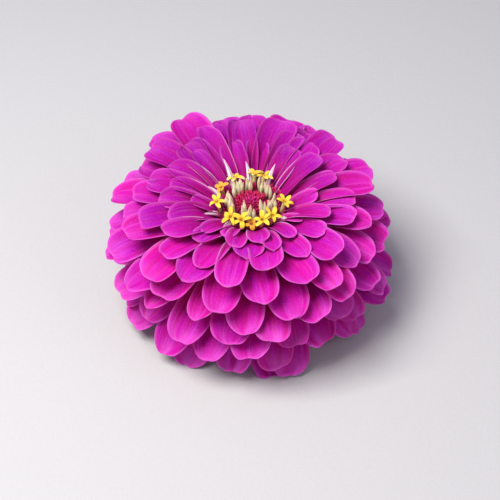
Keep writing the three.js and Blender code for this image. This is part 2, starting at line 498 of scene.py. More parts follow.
@dataclass(frozen=True)
class PetalFinish(Finish):
    """Velvety magenta, crimson at the claw, pale at the margin and underneath, with painted shade and a painted
    glint.
    """

    # The crimson of the claw, which also paints the shade under overlapping petals and in the furrows.
    claw: Colour = srgb("b8023e")
    throat: Colour = srgb("a00870")
    rose: Colour = srgb("d4149e")
    violet: Colour = srgb("b00eb0")
    # The deeper violet of the young petals, also the painted shade on the petals behind the disc.
    deep: Colour = srgb("9a0698")
    margin: Colour = srgb("f26cd6")
    edge: Colour = srgb("f2b2d8")
    painted_sparkle: Colour = srgb("ff86de")
    under: Colour = srgb("d878b4")
    sheen: Colour = srgb("ff60e0")
    share: PetalShares = PetalShares()
    grain_scale: float = 2400.0
    margin_width: float = 1.5
    relief: float = 0.16

    def material(self) -> bpy.types.Material:
        """Builds the material, from the body's colour to the tints that lie over it.

        Returns:
            The material.
        """
        palette, share = Palette("petal"), self.share
        along, across = palette.stored(Store.ALONG), palette.stored(Store.ACROSS)
        face, rim = palette.stored(Store.FACE), palette.stored(Store.RIM)
        tone, age = palette.stored(Store.TONE), palette.stored(Store.AGE)
        depth = palette.stored(Store.DEPTH)
        streaks = palette.noise(palette.vector(across * 8.0, along * 1.3, tone * 31.0), 1.0, 4.0)
        blotches = palette.noise(palette.vector(across * 1.3, along * 2.0, tone * 17.0 + 5.0), 1.0)
        grain = palette.noise(palette.place(), self.grain_scale)

        mixed = (tone * 0.5 + 0.5).towards(blotches.eased(0.25, 0.75), share.blotched)
        body = palette.blend(mixed, self.rose, self.violet)
        # Painted shade: the petals behind the disc deepen to violet, on top of the young petals' own deeper colour.
        body = palette.blend(depth * share.deep, body, self.deep)
        foot = palette.blend(age.eased(0.35, 0.8), self.claw, self.throat)
        # The claw's own crimson, drawn far up the petal as painted shade under the petals that overlap it.
        body = palette.blend((1.0 - along.eased(0.4, 0.92)) * share.foot, body, foot)

        # Painted shade on the floor of each furrow, in the claw's crimson.
        groove = (-furrow_wave(across, palette.stored(Store.PHASE))).at_least(0.0) * (1.0 - along * 0.5)
        body = palette.blend(groove * palette.stored(Store.FURROWED) * share.groove, body, self.claw)
        body = palette.blend(streaks.eased(0.45, 0.2) * share.dark_streak, body, self.claw)
        body = palette.blend(streaks.eased(0.5, 0.7) * along * share.pale_streak, body, self.margin)

        pale_tip = along.eased(0.78, 1.0) * blotches.eased(0.3, 0.7) * (1.0 - age.eased(0.3, 0.8) * 0.7)
        body = palette.blend(pale_tip * share.pale_tip, body, self.margin)
        # The deepest petals, partly in painted shade, keep fewer pale lines.
        plain = 1.0 - depth * share.kept_plain
        near_margin = (1.0 - rim.eased(0.0, self.margin_width)) * streaks
        body = palette.blend(near_margin * plain * share.margin, body, self.margin)
        turned_up = (across * tone).eased(0.1, 0.6) * age.eased(0.5, 0.7) * (1.0 - along.eased(0.5, 0.8))
        edge = turned_up * share.turned_up + plain * share.edge
        body = palette.blend((1.0 - rim.eased(0.1, 0.45)) * streaks * edge, body, self.edge)

        # Painted glint: a bright grain that stands in for the velvet catching the light.
        bright = grain.eased(0.54, 0.8) * along.eased(0.3, 0.8) * blotches
        body = palette.blend(bright * share.painted_sparkle, body, self.painted_sparkle)
        body = palette.blend((-face).eased(0.25, 0.7) * share.under, body, self.under)
        palette.relief(streaks * 0.75 + grain * 0.25, self.relief)
        return palette.finished(
            body,
            Roughness=0.6,
            Specular_IOR_Level=0.06,
            Subsurface_Weight=0.4,
            Subsurface_Radius=(1.0, 0.1, 0.4),
            Subsurface_Scale=0.9 * MM,
            Sheen_Weight=0.03,
            Sheen_Roughness=0.4,
            Sheen_Tint=self.sheen,
        )


@dataclass(frozen=True)
class RolledFinish(Finish):
    """The pale outside of a petal that is still rolled up, blushing towards its tip and margins."""

    pale: Colour = srgb("fdf3f4")
    blush: Colour = srgb("d64fae")
    relief: float = 0.04

    def material(self) -> bpy.types.Material:
        """Builds the material.

        Returns:
            The material.
        """
        palette = Palette("rolled_petal")
        along, across, face = (palette.stored(store) for store in (Store.ALONG, Store.ACROSS, Store.FACE))
        streaks = palette.noise(
            palette.vector(across * 6.0, along * 2.0, palette.stored(Store.TONE) * 31.0), 1.0, 3.0
        )
        at_tip, at_margin = along.eased(0.6, 1.0) * 0.3, across.size().eased(0.85, 1.0) * 0.4
        blush = at_tip + at_margin + streaks.eased(0.4, 0.7) * 0.15
        inside = face.eased(0.0, 0.4)
        colour = palette.blend(blush.at_least(inside).at_most(1.0), self.pale, self.blush)
        palette.relief(streaks, self.relief)
        return palette.finished(colour, Roughness=0.6, Specular_IOR_Level=0.3)


@dataclass(frozen=True)
class FloretFinish(Finish):
    """The soft fuzzy yellow of the open disc florets, deeper at the foot of each lobe and along its middle."""

    name: str = "open_floret"
    light: Colour = srgb("f0d634")
    deep: Colour = srgb("e59a08")
    faded: Colour = srgb("d07028")
    cream: Colour = srgb("fdf0b4")
    deep_until: float = 0.4
    fuzz_scale: float = 3500.0
    relief: float = 0.12

    def material(self) -> bpy.types.Material:
        """Builds the material.

        Returns:
            The material.
        """
        palette = Palette(self.name)
        fuzz = palette.noise(palette.place(), self.fuzz_scale, 3.0)
        at_foot = (1.0 - palette.stored(Store.ALONG).eased(0.0, self.deep_until)) * 0.7
        at_middle = (1.0 - palette.stored(Store.ACROSS).size()).eased(0.7, 1.0) * 0.25
        shade = at_foot + at_middle + (fuzz - 0.5) * 0.6
        colour = palette.blend(shade.at_least(0.0).at_most(1.0), self.light, self.deep)
        colour = palette.blend(palette.stored(Store.AGE) * (fuzz * 0.6 + 0.3), colour, self.faded)
        creamy = palette.stored(Store.ALONG).eased(0.45, 1.0) * palette.stored(Store.TONE).eased(-0.8, 1.0)
        colour = palette.blend(creamy * 0.85, colour, self.cream)
        palette.relief(fuzz, self.relief)
        return palette.finished(colour, Roughness=0.6, Specular_IOR_Level=0.3, Sheen_Weight=0.15)


@dataclass(frozen=True)
class BudFinish(Finish):
    """Green at the foot of a closed floret, cream above, with a pink tip and painted shade in its five seams."""

    foot: Colour = srgb("b8ba70")
    cream: Colour = srgb("f6f0c4")
    tip: Colour = srgb("e8988c")
    # The darker green of the painted shade in the seams, and of a mottle over the whole bud.
    seam: Colour = srgb("b2b070")
    fuzz_scale: float = 3000.0
    relief: float = 0.12

    def material(self) -> bpy.types.Material:
        """Builds the material.

        Returns:
            The material.
        """
        palette = Palette("closed_floret")
        along = palette.stored(Store.ALONG)
        fuzz = palette.noise(palette.place(), self.fuzz_scale, 3.0)
        colour = palette.blend(along.eased(0.0, 0.5), self.foot, self.cream)
        # Painted shade in the seams, with a mottle of the same green over the bud.
        seam_shade_and_mottle = (palette.stored(Store.RIM) * 0.6 + (fuzz - 0.5)).at_least(0.0)
        colour = palette.blend(seam_shade_and_mottle, colour, self.seam)
        blushing = palette.stored(Store.TONE).eased(-0.6, 0.6) * 0.7 + 0.25
        colour = palette.blend(along.eased(0.74, 0.98) * blushing, colour, self.tip)
        palette.relief(fuzz, self.relief)
        return palette.finished(colour, Roughness=0.6, Specular_IOR_Level=0.3, Sheen_Weight=0.15)


@dataclass(frozen=True)
class ChaffFinish(Finish):
    """Crimson scales, pinker at their points, more magenta towards the disc's middle, and painted shade at their
    roots.
    """

    # The dark crimson of the painted shade in the gaps between the scales, laid at their roots.
    root: Colour = srgb("70042e")
    body: Colour = srgb("be0c4c")
    middle: Colour = srgb("c01a7c")
    point: Colour = srgb("ee5a90")
    mottle_scale: float = 1500.0
    relief: float = 0.1

    def material(self) -> bpy.types.Material:
        """Builds the material.

        Returns:
            The material.
        """
        palette = Palette("chaff")
        along, age = palette.stored(Store.ALONG), palette.stored(Store.AGE)
        mottle = palette.noise(palette.place(), self.mottle_scale, 3.0)
        colour = palette.blend((1.0 - age.eased(0.15, 0.6)) * 0.8, self.body, self.middle)
        # Painted shade: each scale darkens towards its root, where the gaps between the scales lie.
        colour = palette.blend((1.0 - along.eased(0.0, 0.5)) * 0.8, colour, self.root)
        pointed = along.eased(0.6, 1.0) * (1.0 - age.eased(0.3, 0.8) * 0.6)
        colour = palette.blend(pointed * mottle.eased(0.35, 0.65) * 0.8, colour, self.point)
        palette.relief(mottle, self.relief)
        return palette.finished(colour, Roughness=0.6, Specular_IOR_Level=0.3)


@dataclass(frozen=True)
class GreenFinish(Finish):
    """Matt green with a fine mottle and, on the bracts, a dark rounded edge."""

    name: str
    light: Colour = srgb("86a052")
    deep: Colour = srgb("4c6b2c")
    edge: Colour = srgb("2c2a22")
    edged: bool = False
    mottle_scale: float = 500.0
    relief: float = 0.15

    def material(self) -> bpy.types.Material:
        """Builds the material.

        Returns:
            The material.
        """
        palette = Palette(self.name)
        mottle = palette.noise(palette.place(), self.mottle_scale, 4.0)
        colour = palette.blend(mottle.eased(0.3, 0.7), self.deep, self.light)
        relief = mottle
        if self.edged:
            across, along = palette.stored(Store.ACROSS), palette.stored(Store.ALONG)
            veins = palette.noise(palette.vector(across * 10.0, along, palette.stored(Store.TONE) * 9.0), 1.0)
            colour = palette.blend(veins.eased(0.5, 0.8) * 0.5, colour, self.light)
            edge = (1.0 - palette.stored(Store.RIM).eased(0.3, 0.8)) * along.eased(0.5, 0.9)
            colour = palette.blend(edge * 0.85, colour, self.edge)
            relief = veins
        palette.relief(relief, self.relief)
        return palette.finished(colour, Roughness=0.62, Specular_IOR_Level=0.35)


@dataclass(frozen=True)
class MottledFinish(Finish):
    """Two close tones in a soft mottle."""

    name: str
    light: Colour
    deep: Colour
    mottle_scale: float = 700.0
    relief: float = 0.1

    def material(self) -> bpy.types.Material:
        """Builds the material.

        Returns:
            The material.
        """
        palette = Palette(self.name)
        mottle = palette.noise(palette.place(), self.mottle_scale, 3.0)
        palette.relief(mottle, self.relief)
        colour = palette.blend(mottle, self.deep, self.light)
        return palette.finished(colour, Roughness=0.7, Specular_IOR_Level=0.3)


# ---------------------------------------------------------------- growth


@dataclass(frozen=True)
class Place:
    """A point of a grown part, in millimetres."""

    x: Field
    y: Field
    z: Field

    def moved(self, x: "Field | float" = 0.0, z: "Field | float" = 0.0) -> "Place":
        """The point moved along X and Z."""
        return Place(self.x + x, self.y, self.z + z)

    def leaned(self, angle: Field) -> "Place":
        """The point turned about Y, so that what stood up leans towards +X."""
        sin, cos = angle.sin(), angle.cos()
        return Place(self.x * cos + self.z * sin, self.y, self.z * cos - self.x * sin)

    def swung(self, angle: Field) -> "Place":
        """The point turned about Z."""
        sin, cos = angle.sin(), angle.cos()
        return Place(self.x * cos - self.y * sin, self.x * sin + self.y * cos, self.z)


class Station:
    """The point of a part that a tree is placing: how far along and round the part it is, and the part's sizes.

    Attributes:
        along: 0 at the root and 1 at the tip.
        across: the cosine of the turn round the part, so -1 and 1 are a blade's margins.
        face: the sine of that turn, so 1 is the middle of a blade's upper side.
    """

    def __init__(self, tree: bpy.types.NodeTree, inputs: bpy.types.Node) -> None:
        """Reads the station's own attributes in a tree.

        Args:
            tree: the tree.
            inputs: the node of its inputs.
        """
        self.tree = tree
        self.inputs = inputs
        self.along = self.seed(Store.ALONG.value)
        self.across = self.seed(Store.ACROSS.value)
        self.face = self.seed(Store.FACE.value)

    def seed(self, name: str) -> Field:
        """Reads one of the sizes that the part's seed carries.

        Args:
            name: the size's name.

        Returns:
            The size.
        """
        node = self.tree.nodes.new("GeometryNodeInputNamedAttribute")
        node.data_type = "FLOAT"
        node.inputs["Name"].default_value = name
        return Field(self.tree, node.outputs["Attribute"])

    def common(self, name: str) -> Field:
        """One of the sizes that all the parts share, from the tree's inputs."""
        return Field(self.tree, self.inputs.outputs[name])

    def bent(self, side: Field, lift: Field, u: "Field | None" = None, sunk: "Field | float" = 0.0) -> Place:
        """Bends a point of a flat blade along a midrib that turns evenly from its root's pitch to its tip's.

        The blade's root is at x = 0 and z = 0 and it runs towards +X. Its seed carries length, root_pitch,
        tip_pitch, twist and veer.

        Args:
            side: the point's distance from the midrib.
            lift: its height over the midrib.
            u: how far along the midrib it is, where that isn't the station's own place.
            sunk: how far the root reaches back beyond the origin.

        Returns:
            The point's place.
        """
        u = u or self.along
        length, root, twist = self.seed("length"), self.seed("root_pitch"), self.seed("twist") * u
        turn = self.seed("tip_pitch") - root
        pitch = root + turn * u
        across = side * twist.cos() - lift * twist.sin() + length * self.seed("veer") * u * u
        raised = side * twist.sin() + lift * twist.cos()
        buried = sunk * (1.0 - self.along.share(0.0, 0.02))
        out = length * (pitch.sin() - root.sin()) / turn - buried * pitch.cos()
        up = length * (root.cos() - pitch.cos()) / turn - buried * pitch.sin()
        return Place(out - pitch.sin() * raised, across, up + pitch.cos() * raised)


def piece_of(name: str, mesh: bpy.types.Mesh, node: Node, replaces: bool) -> bpy.types.Object:
    """Makes a mesh a piece of the head.

    Args:
        name: the piece's name.
        mesh: its mesh, which has its material.
        node: the solid whose finish it takes.
        replaces: whether it stands for that solid.

    Returns:
        The piece.
    """
    mesh.name = name
    piece = bpy.data.objects.new(name, mesh)
    bpy.context.scene.collection.objects.link(piece)
    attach(piece, BODY)
    if replaces:
        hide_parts(node.value)
    return piece


@dataclass
class Growth:
    """Parts of one kind that grow by one rule and become one piece of the head.

    A subclass gives the piece's name, its solid, its seeds and its rule. Its plain numbers become the named
    inputs of its tree, and its varied ones become sizes that each part's seed carries.

    Attributes:
        around: stations round each part.
        rings: steps along each part.
        crowding: how strongly the steps crowd towards the tip, where 1 spaces them evenly.
        name: the piece's name.
        node: the solid whose finish it takes.
        replaces: whether it stands for that solid.
        finish: what it is dressed in.
    """

    around: int = 12
    rings: int = 8
    crowding: float = 1.0
    name: str = ""
    node: Node = Node.PETALS
    replaces: bool = False
    finish: Finish = Finish()

    def seeds(self) -> Seeds:
        """The sizes of each part, by name. Angles are in radians."""
        raise NotImplementedError

    def rule(self, at: Station) -> tuple[Place, Field]:
        """The place of a station, and what its finish reads as the rim."""
        raise NotImplementedError

    def commons(self) -> dict[str, float]:
        """The sizes that all the parts share, by name."""
        return {f.name: getattr(self, f.name) for f in fields(self) if f.type is float}

    def varied(self, index: np.ndarray) -> Seeds:
        """The sizes that differ from part to part by a draw alone, by name."""
        named = {f.name: getattr(self, f.name) for f in fields(self)}
        return {name: value.of(index) for name, value in named.items() if isinstance(value, Varied)}

    def seed_object(self) -> bpy.types.Object:
        """Makes the object that holds the seed points and their sizes.

        Returns:
            The object, which isn't part of the head.
        """
        seeds = self.seeds()
        count = len(next(iter(seeds.values())))
        mesh = bpy.data.meshes.new(self.name)
        mesh.from_pydata([(0.0, 0.0, 0.0)] * count, [], [])
        for key, values in seeds.items():
            mesh.attributes.new(key, "FLOAT", "POINT").data.foreach_set("value", values.astype(np.float32))
        holder = bpy.data.objects.new(self.name, mesh)
        bpy.context.scene.collection.objects.link(holder)
        return holder

    def tree(self) -> bpy.types.GeometryNodeTree:
        """Builds the tree that grows the parts on their seeds, with an input for each common size.

        Returns:
            The tree.
        """
        tree = bpy.data.node_groups.new(self.name, "GeometryNodeTree")
        tree.interface.new_socket("Geometry", in_out="INPUT", socket_type="NodeSocketGeometry")
        tree.interface.new_socket("Geometry", in_out="OUTPUT", socket_type="NodeSocketGeometry")
        for name in self.commons():
            tree.interface.new_socket(name, in_out="INPUT", socket_type="NodeSocketFloat")
        nodes, link = tree.nodes, tree.links.new
        inputs = nodes.new("NodeGroupInput")
        at = Station(tree, inputs)

        planted = nodes.new("GeometryNodeInstanceOnPoints")
        link(inputs.outputs["Geometry"], planted.inputs["Points"])
        link(self.template(at), planted.inputs["Instance"])
        realized = nodes.new("GeometryNodeRealizeInstances")
        link(planted.outputs[0], realized.inputs[0])

        place, rim = self.rule(at)
        over_origin = (place.x + HEAD.axis_x, place.y + HEAD.axis_y, place.z)
        placed = nodes.new("GeometryNodeSetPosition")
        link(self.stored(realized.outputs[0], Store.RIM, rim), placed.inputs["Geometry"])
        link(vector_node(tree, *(value * MM for value in over_origin)), placed.inputs["Position"])
        smooth = nodes.new("GeometryNodeSetShadeSmooth")
        link(placed.outputs[0], smooth.inputs["Geometry"])
        dressed = nodes.new("GeometryNodeSetMaterial")
        dressed.inputs["Material"].default_value = self.finish.material()
        link(smooth.outputs[0], dressed.inputs["Geometry"])
        link(dressed.outputs[0], nodes.new("NodeGroupOutput").inputs["Geometry"])
        return tree

    def template(self, at: Station) -> bpy.types.NodeSocket:
        """Adds the closed round of stations that every part is bent from.

        Args:
            at: the station, for the tree and its common sizes.

        Returns:
            The socket of the geometry, whose points carry how far along and round they are.
        """
        tree = at.tree
        template = tree.nodes.new("GeometryNodeMeshCylinder")
        template.fill_type = "TRIANGLE_FAN"
        template.inputs["Vertices"].default_value = self.around
        template.inputs["Side Segments"].default_value = self.rings
        template.inputs["Radius"].default_value = 1.0
        template.inputs["Depth"].default_value = 1.0
        split = tree.nodes.new("ShaderNodeSeparateXYZ")
        tree.links.new(tree.nodes.new("GeometryNodeInputPosition").outputs[0], split.inputs[0])
        across, face, height = (Field(tree, output) for output in split.outputs)
        along = 1.0 - (0.5 - height) ** at.common("crowding")
        geometry = template.outputs["Mesh"]
        for store, value in ((Store.ALONG, along), (Store.ACROSS, across), (Store.FACE, face)):
            geometry = self.stored(geometry, store, value)
        return geometry

    @staticmethod
    def stored(geometry: bpy.types.NodeSocket, store: Store, value: Field) -> bpy.types.NodeSocket:
        """Stores a number on each point of a geometry.

        Args:
            geometry: the geometry's socket.
            store: where the number is kept.
            value: the number.

        Returns:
            The socket of the geometry that carries it.
        """
        node = value.tree.nodes.new("GeometryNodeStoreNamedAttribute")
        node.data_type = "FLOAT"
        node.inputs["Name"].default_value = store.value
        value.tree.links.new(geometry, node.inputs["Geometry"])
        value.tree.links.new(value.socket, node.inputs["Value"])
        return node.outputs["Geometry"]

    def build(self) -> bpy.types.Object:
        """Grows the parts as a plain mesh, dresses it and fixes it to the head.

        Returns:
            The piece.
        """
        holder, tree = self.seed_object(), self.tree()
        modifier = holder.modifiers.new("growth", "NODES")
        modifier.node_group = tree
        values = self.commons()
        for item in tree.interface.items_tree:
            if item.in_out == "INPUT" and item.name in values:
                modifier[item.identifier] = values[item.name]
        depsgraph = bpy.context.evaluated_depsgraph_get()
        mesh = bpy.data.meshes.new_from_object(
            holder.evaluated_get(depsgraph), preserve_all_data_layers=True, depsgraph=depsgraph
        )
        bpy.data.objects.remove(holder)
        return piece_of(self.name, mesh, self.node, self.replaces)


@dataclass
class Turned:
    """A solid turned about the head's axis. A subclass gives its profile.

    Attributes:
        name: the piece's name.
        node: the solid whose finish it takes.
        finish: what it is dressed in.
        replaces: whether it stands for that solid.
        sides: flat sides round it.
    """

    name: str = ""
    node: Node = Node.PETALS
    finish: Finish = Finish()
    replaces: bool = False
    sides: int = 72

    def profile(self) -> Profile:
        """Its radius and height pairs from the bottom up, which start and end on the axis."""
        raise NotImplementedError

    def build(self) -> bpy.types.Object:
        """Turns the profile into a closed mesh, dresses it and fixes it to the head.

        Returns:
            The piece.
        """
        turns = [2 * math.pi * side / self.sides for side in range(self.sides)]
        (_, lowest), *inner, (_, highest) = self.profile()
        points = [(radius * math.cos(turn), radius * math.sin(turn), z) for radius, z in inner for turn in turns]
        bottom, top = len(points), len(points) + 1
        points += [(0.0, 0.0, lowest), (0.0, 0.0, highest)]
        last = (len(inner) - 1) * self.sides
        faces: list[tuple[int, ...]] = []
        for side in range(self.sides):
            beside = (side + 1) % self.sides
            faces += [(bottom, beside, side), (top, last + side, last + beside)]
            for low in range(0, last, self.sides):
                high = low + self.sides
                faces.append((low + side, low + beside, high + beside, high + side))
        placed = [((x + HEAD.axis_x) * MM, (y + HEAD.axis_y) * MM, z * MM) for x, y, z in points]
        mesh = bpy.data.meshes.new(self.name)
        mesh.from_pydata(placed, [], faces)
        mesh.polygons.foreach_set("use_smooth", [True] * len(faces))
        mesh.materials.append(self.finish.material())
        return piece_of(self.name, mesh, self.node, self.replaces)


# ---------------------------------------------------------------- petals


@dataclass(frozen=True)
class Whorl:
    """What petals of one age are like, from the outermost (age 0) to the innermost (age 1).

    The pitches are the midrib's slopes at its root and tip. The arcs are how far a margin is turned up from the
    midrib, at the root and at the tip.
    """

    age: float
    root_z: float
    root_pitch: float
    tip_pitch: float
    length: float
    width: float
    root_arc: float
    tip_arc: float


WHORLS = (
    Whorl(0.00, 18.8, -8, -62, 40.0, 13.9, 45, 15),
    Whorl(0.12, 20.5, 2, -48, 39.5, 13.9, 48, 20),
    Whorl(0.36, 26.0, 20, -30, 40.0, 13.8, 55, 24),
    Whorl(0.53, 29.7, 32, -17, 39.5, 13.7, 64, 26),
    Whorl(0.68, 33.1, 43, -4, 36.5, 13.2, 68, 28),
    Whorl(0.81, 35.4, 47, 5, 28.0, 11.4, 68, 30),
    Whorl(0.93, 38.0, 47, 9, 17.0, 8.2, 66, 32),
    Whorl(1.00, 38.7, 46, 10, 11.0, 6.4, 64, 32),
)


@dataclass(frozen=True)
class PetalSpread:
    """How far the petals stray from the values of their age.

    Angles are in degrees, and lengths and widths are shares of the usual ones. What is called young is added for
    the youngest petals, which are the most uneven.

    Attributes:
        usual_length: the middle of the lengths, as a share of the length at the petal's age.
    """

    azimuth: float = 4
    root_pitch: float = 2.5
    tip_pitch: float = 9
    young_tip_pitch: float = 4
    usual_length: float = 0.972
    length: float = 0.065
    width: float = 0.13
    young_size: float = 0.1
    twist: float = 9
    young_twist: float = 14
    veer: float = 5
    root_arc: float = 20
    tip_arc: float = 9


@dataclass(frozen=True)
class PetalSides:
    """How the petals differ round the head: those behind the disc stand up, and those in front hang over.

    Angles are in degrees, and lengths and widths are shares of the usual ones.

    Attributes:
        behind: the azimuth of the middle of the back.
        length: how much longer the upper petals are behind, and shorter in front.
        arc: how much further their margins are turned up behind.
        width: how much wider the young petals are behind.
        narrowest: the share of that width by which those in front are narrower.
        twist: how far the petals at the two sides turn their faces to the front.
        root_pitch: how much lower the roots of the youngest petals start behind.
        back_tip_pitch: how much lower their tips point behind.
        front_tip_pitch: how much lower their tips point in front.
        back_length: how much longer the youngest petals are behind.
        front_length: how much longer they are in front.
    """

    behind: float = 104
    length: float = 0.03
    arc: float = 8
    width: float = 0.3
    narrowest: float = 0.3
    twist: float = 8
    root_pitch: float = 3
    back_tip_pitch: float = 4
    front_tip_pitch: float = 6
    back_length: float = 0.53
    front_length: float = 0.2


@dataclass(frozen=True)
class PetalDepthAndShade:
    """What makes a petal a deeper violet: youth and a draw for its own colour, and painted shade for a place behind
    the disc.
    """

    least: float = 0.05
    young: float = 0.28
    # Painted shade on the upper petals behind the disc.
    shade_upper_behind: float = 0.22
    # Painted shade on every petal behind the disc.
    behind: float = 0.34
    stray: float = 0.28


@dataclass
class Petals(Growth):
    """The ray florets, in one spiral from the outermost to the innermost.

    Attributes:
        upper: the ages over which petals come to count as upper ones.
        young: the ages over which they come to count as young.
        youngest: the ages over which they come to count as the youngest.
        widest_at: how far along a petal is widest.
        bluntness: 2 rounds the tip as an ellipse, and more makes it squarer.
        slant: how much further one corner of the tip reaches than the other, as a share of the length.
        notched: the notch as a share of the deepest. Below 0 there is none.
        phase: where a petal's furrows, waves and dimples start, as a share of half a turn.
        furrowed: how strong the furrows are.
        smoothing: how much weaker they are on the innermost petal.
        last: how far along the last station is, just short of the tip, where the width would vanish.
        youth: the ages between which a petal's outline changes to a young one's.
        flattening: the ages between which the curl of the tip is lost.
        claw_share: the width at the root, as a share of the full width.
        rise_power: how slowly a petal widens from its claw, and how much faster a young one does.
        furrow: the height of the lengthwise furrows.
        wave: the height of the waves of the margin, and how many radians of them a petal holds.
        dimple: the height of the dimples, and how many radians of them a petal holds each way.
        curl: how many radians further the margins turn up at the tip.
        spoon: how far the tip is lifted.
        notch: the depth of the notch in some tips, as a share of the length.
        ragged: the height of the small bumps along the tip, as a share of the length.
        ragged_inset: how far they lie back, as a share of the length.
    """

    around: int = 28
    rings: int = 20
    crowding: float = 1.8
    name: str = "petal_blades"
    replaces: bool = True
    finish: Finish = PetalFinish()
    count: int = 152
    spread: PetalSpread = PetalSpread()
    sides: PetalSides = PetalSides()
    depth: PetalDepthAndShade = PetalDepthAndShade()
    upper: Ramp = Ramp(0.4, 0.25)
    young: Ramp = Ramp(0.6, 0.2)
    youngest: Ramp = Ramp(0.84, 0.08)
    inset: Seeded = 1.0
    widest_at: Varied = Varied(0.73, 0.05, 15)
    bluntness: Varied = Varied(2.5, 0.7, 9)
    slant: Varied = Varied(0, -0.02, 16)
    notched: Varied = Varied(-0.6, 1.6, 10)
    phase: Varied = Varied(0.5, 0.5, 11)
    furrowed: Varied = Varied(0.65, 0.35, 13)
    smoothing: Seeded = 0.55
    tone: Varied = Varied(0, 1, 12)
    last: float = 0.999
    thickness: float = 0.42
    root_radius: float = 11.5
    root_sunk: float = 2.5
    youth: Stretch = (0.3, 0.8)
    flattening: Stretch = (0.2, 0.6)
    claw_share: float = 0.24
    young_claw_share: float = 0.5
    rise_power: float = 1.15
    young_rise_power: float = 0.45
    arc_power: float = 1.3
    furrow: float = 0.6
    wave: float = 0.45
    wave_radians: float = 9.0
    dimple: float = 0.3
    dimple_radians: float = 7.0
    dimple_radians_across: float = 2.6
    curl: float = 0.35
    spoon: float = 0.9
    notch: float = 0.022
    ragged: float = 0.006
    ragged_inset: float = 0.002
    ragged_radians: float = 7.0

    def seeds(self) -> Seeds:
        """Spreads each petal round the values of its age, and changes it by where it stands.

        Returns:
            Each petal's sizes, by name.
        """
        k = np.arange(self.count, dtype=float)
        age = k / (self.count - 1)
        ages = [whorl.age for whorl in WHORLS]

        def at_age(column: str) -> np.ndarray:
            """A whorl's column at each petal's age."""
            return np.interp(age, ages, [getattr(whorl, column) for whorl in WHORLS])

        spread, sides, depth = self.spread, self.sides, self.depth
        azimuth = np.radians(k * GOLDEN_ANGLE + spread.azimuth * draw(k, 1))
        behind = np.cos(azimuth - np.radians(sides.behind))
        leeward = behind * self.upper.of(age)
        young, youngest = self.young.of(age), self.youngest.of(age)
        back, front = youngest * np.clip(leeward, 0, 1), youngest * np.clip(-leeward, 0, 1)

        root_pitch = at_age("root_pitch") + spread.root_pitch * draw(k, 2) - sides.root_pitch * youngest * leeward
        tip_pitch = at_age("tip_pitch") + (spread.tip_pitch + spread.young_tip_pitch * youngest) * draw(k, 3)
        tip_pitch = tip_pitch - sides.back_tip_pitch * back - sides.front_tip_pitch * front
        uneven = spread.young_size * youngest
        length = at_age("length") * (spread.usual_length + (spread.length + uneven) * draw(k, 4))
        width = at_age("width") * (1 + (spread.width + uneven) * draw(k, 5))
        twist = (spread.twist + spread.young_twist * youngest) * draw(k, 6) + sides.twist * np.cos(azimuth)
        # The deeper violet: the young petals' own colour and a draw, with painted shade on the petals behind the
        # disc.
        violet = depth.least + depth.young * young + depth.shade_upper_behind * leeward + depth.behind * behind
        own = self.varied(k)
        own["notched"] = np.clip(own["notched"], 0, 1)
        own["phase"] *= np.pi
        own["furrowed"] *= 1 - self.smoothing * age
        return {
            **own,
            "azimuth": azimuth,
            "root_z": at_age("root_z"),
            "inset": self.inset * youngest,
            "root_pitch": np.radians(root_pitch),
            "tip_pitch": np.radians(tip_pitch),
            "length": length
            * (1 + sides.length * leeward + sides.back_length * back + sides.front_length * front),
            "width": width * (1 + sides.width * young * np.clip(leeward, -sides.narrowest, 1)),
            "twist": np.radians(twist),
            "veer": np.radians(spread.veer) * draw(k, 7),
            "root_arc": np.radians(at_age("root_arc") + sides.arc * leeward + spread.root_arc * draw(k, 14)),
            "tip_arc": np.radians(at_age("tip_arc") + sides.arc * leeward + spread.tip_arc * draw(k, 8)),
            Store.AGE.value: age,
            Store.DEPTH.value: np.clip(violet + depth.stray * draw(k, 17), 0, 1),
        }

    def rule(self, at: Station) -> tuple[Place, Field]:
        """Shapes a petal: a cupped blade that bends along its midrib and lies flat where it meets the surface.

        Args:
            at: the station.

        Returns:
            The station's place, and its distance from the margin.
        """
        u, v = at.along * at.common("last"), at.across
        age = at.seed(Store.AGE.value)
        fall = u.share(at.seed("widest_at"), 1.0)
        rounding = (1.0 - fall ** at.seed("bluntness")) ** (1.0 / at.seed("bluntness"))
        half = self.half_width(at, u) * rounding
        curl = fall * fall * at.common("curl") * (1.0 - age.eased(*self.flattening))
        arc = at.seed("root_arc").towards(at.seed("tip_arc"), u ** at.common("arc_power")) + curl
        turn = arc * v
        raised = self.relief(at, u, fall)
        side = turn.sin() / arc * half - turn.sin() * raised
        lift = (1.0 - turn.cos()) / arc * half + turn.cos() * raised
        lift = lift + fall**3.0 * at.common("spoon") * (1.0 - age.eased(*self.youth))
        place = at.bent(side, lift, self.uneven_tip(at, u, v * rounding, fall), at.common("root_sunk"))
        place = place.moved(x=at.common("root_radius") - at.seed("inset"), z=at.seed("root_z"))
        floor = (at.face + 1.0) * at.common("thickness") * 0.5
        place = Place(place.x, place.y, place.z.at_least(floor)).swung(at.seed("azimuth"))
        return place, ((1.0 - v.size()) * half).at_most((1.0 - u) * at.seed("length"))

    def half_width(self, at: Station, u: Field) -> Field:
        """Works out half a petal's width before its tip is rounded off, from a narrow claw to its widest place.

        Args:
            at: the station.
            u: how far along the petal it is.

        Returns:
            Half the width there.
        """
        young = at.seed(Store.AGE.value).eased(*self.youth)
        power = at.common("rise_power") - young * at.common("young_rise_power")
        rise = (u.share(0.0, at.seed("widest_at")) * (math.pi / 2)).sin() ** power
        claw = at.common("claw_share").towards(at.common("young_claw_share"), young)
        return at.seed("width") * 0.5 * (claw + (1.0 - claw) * rise)

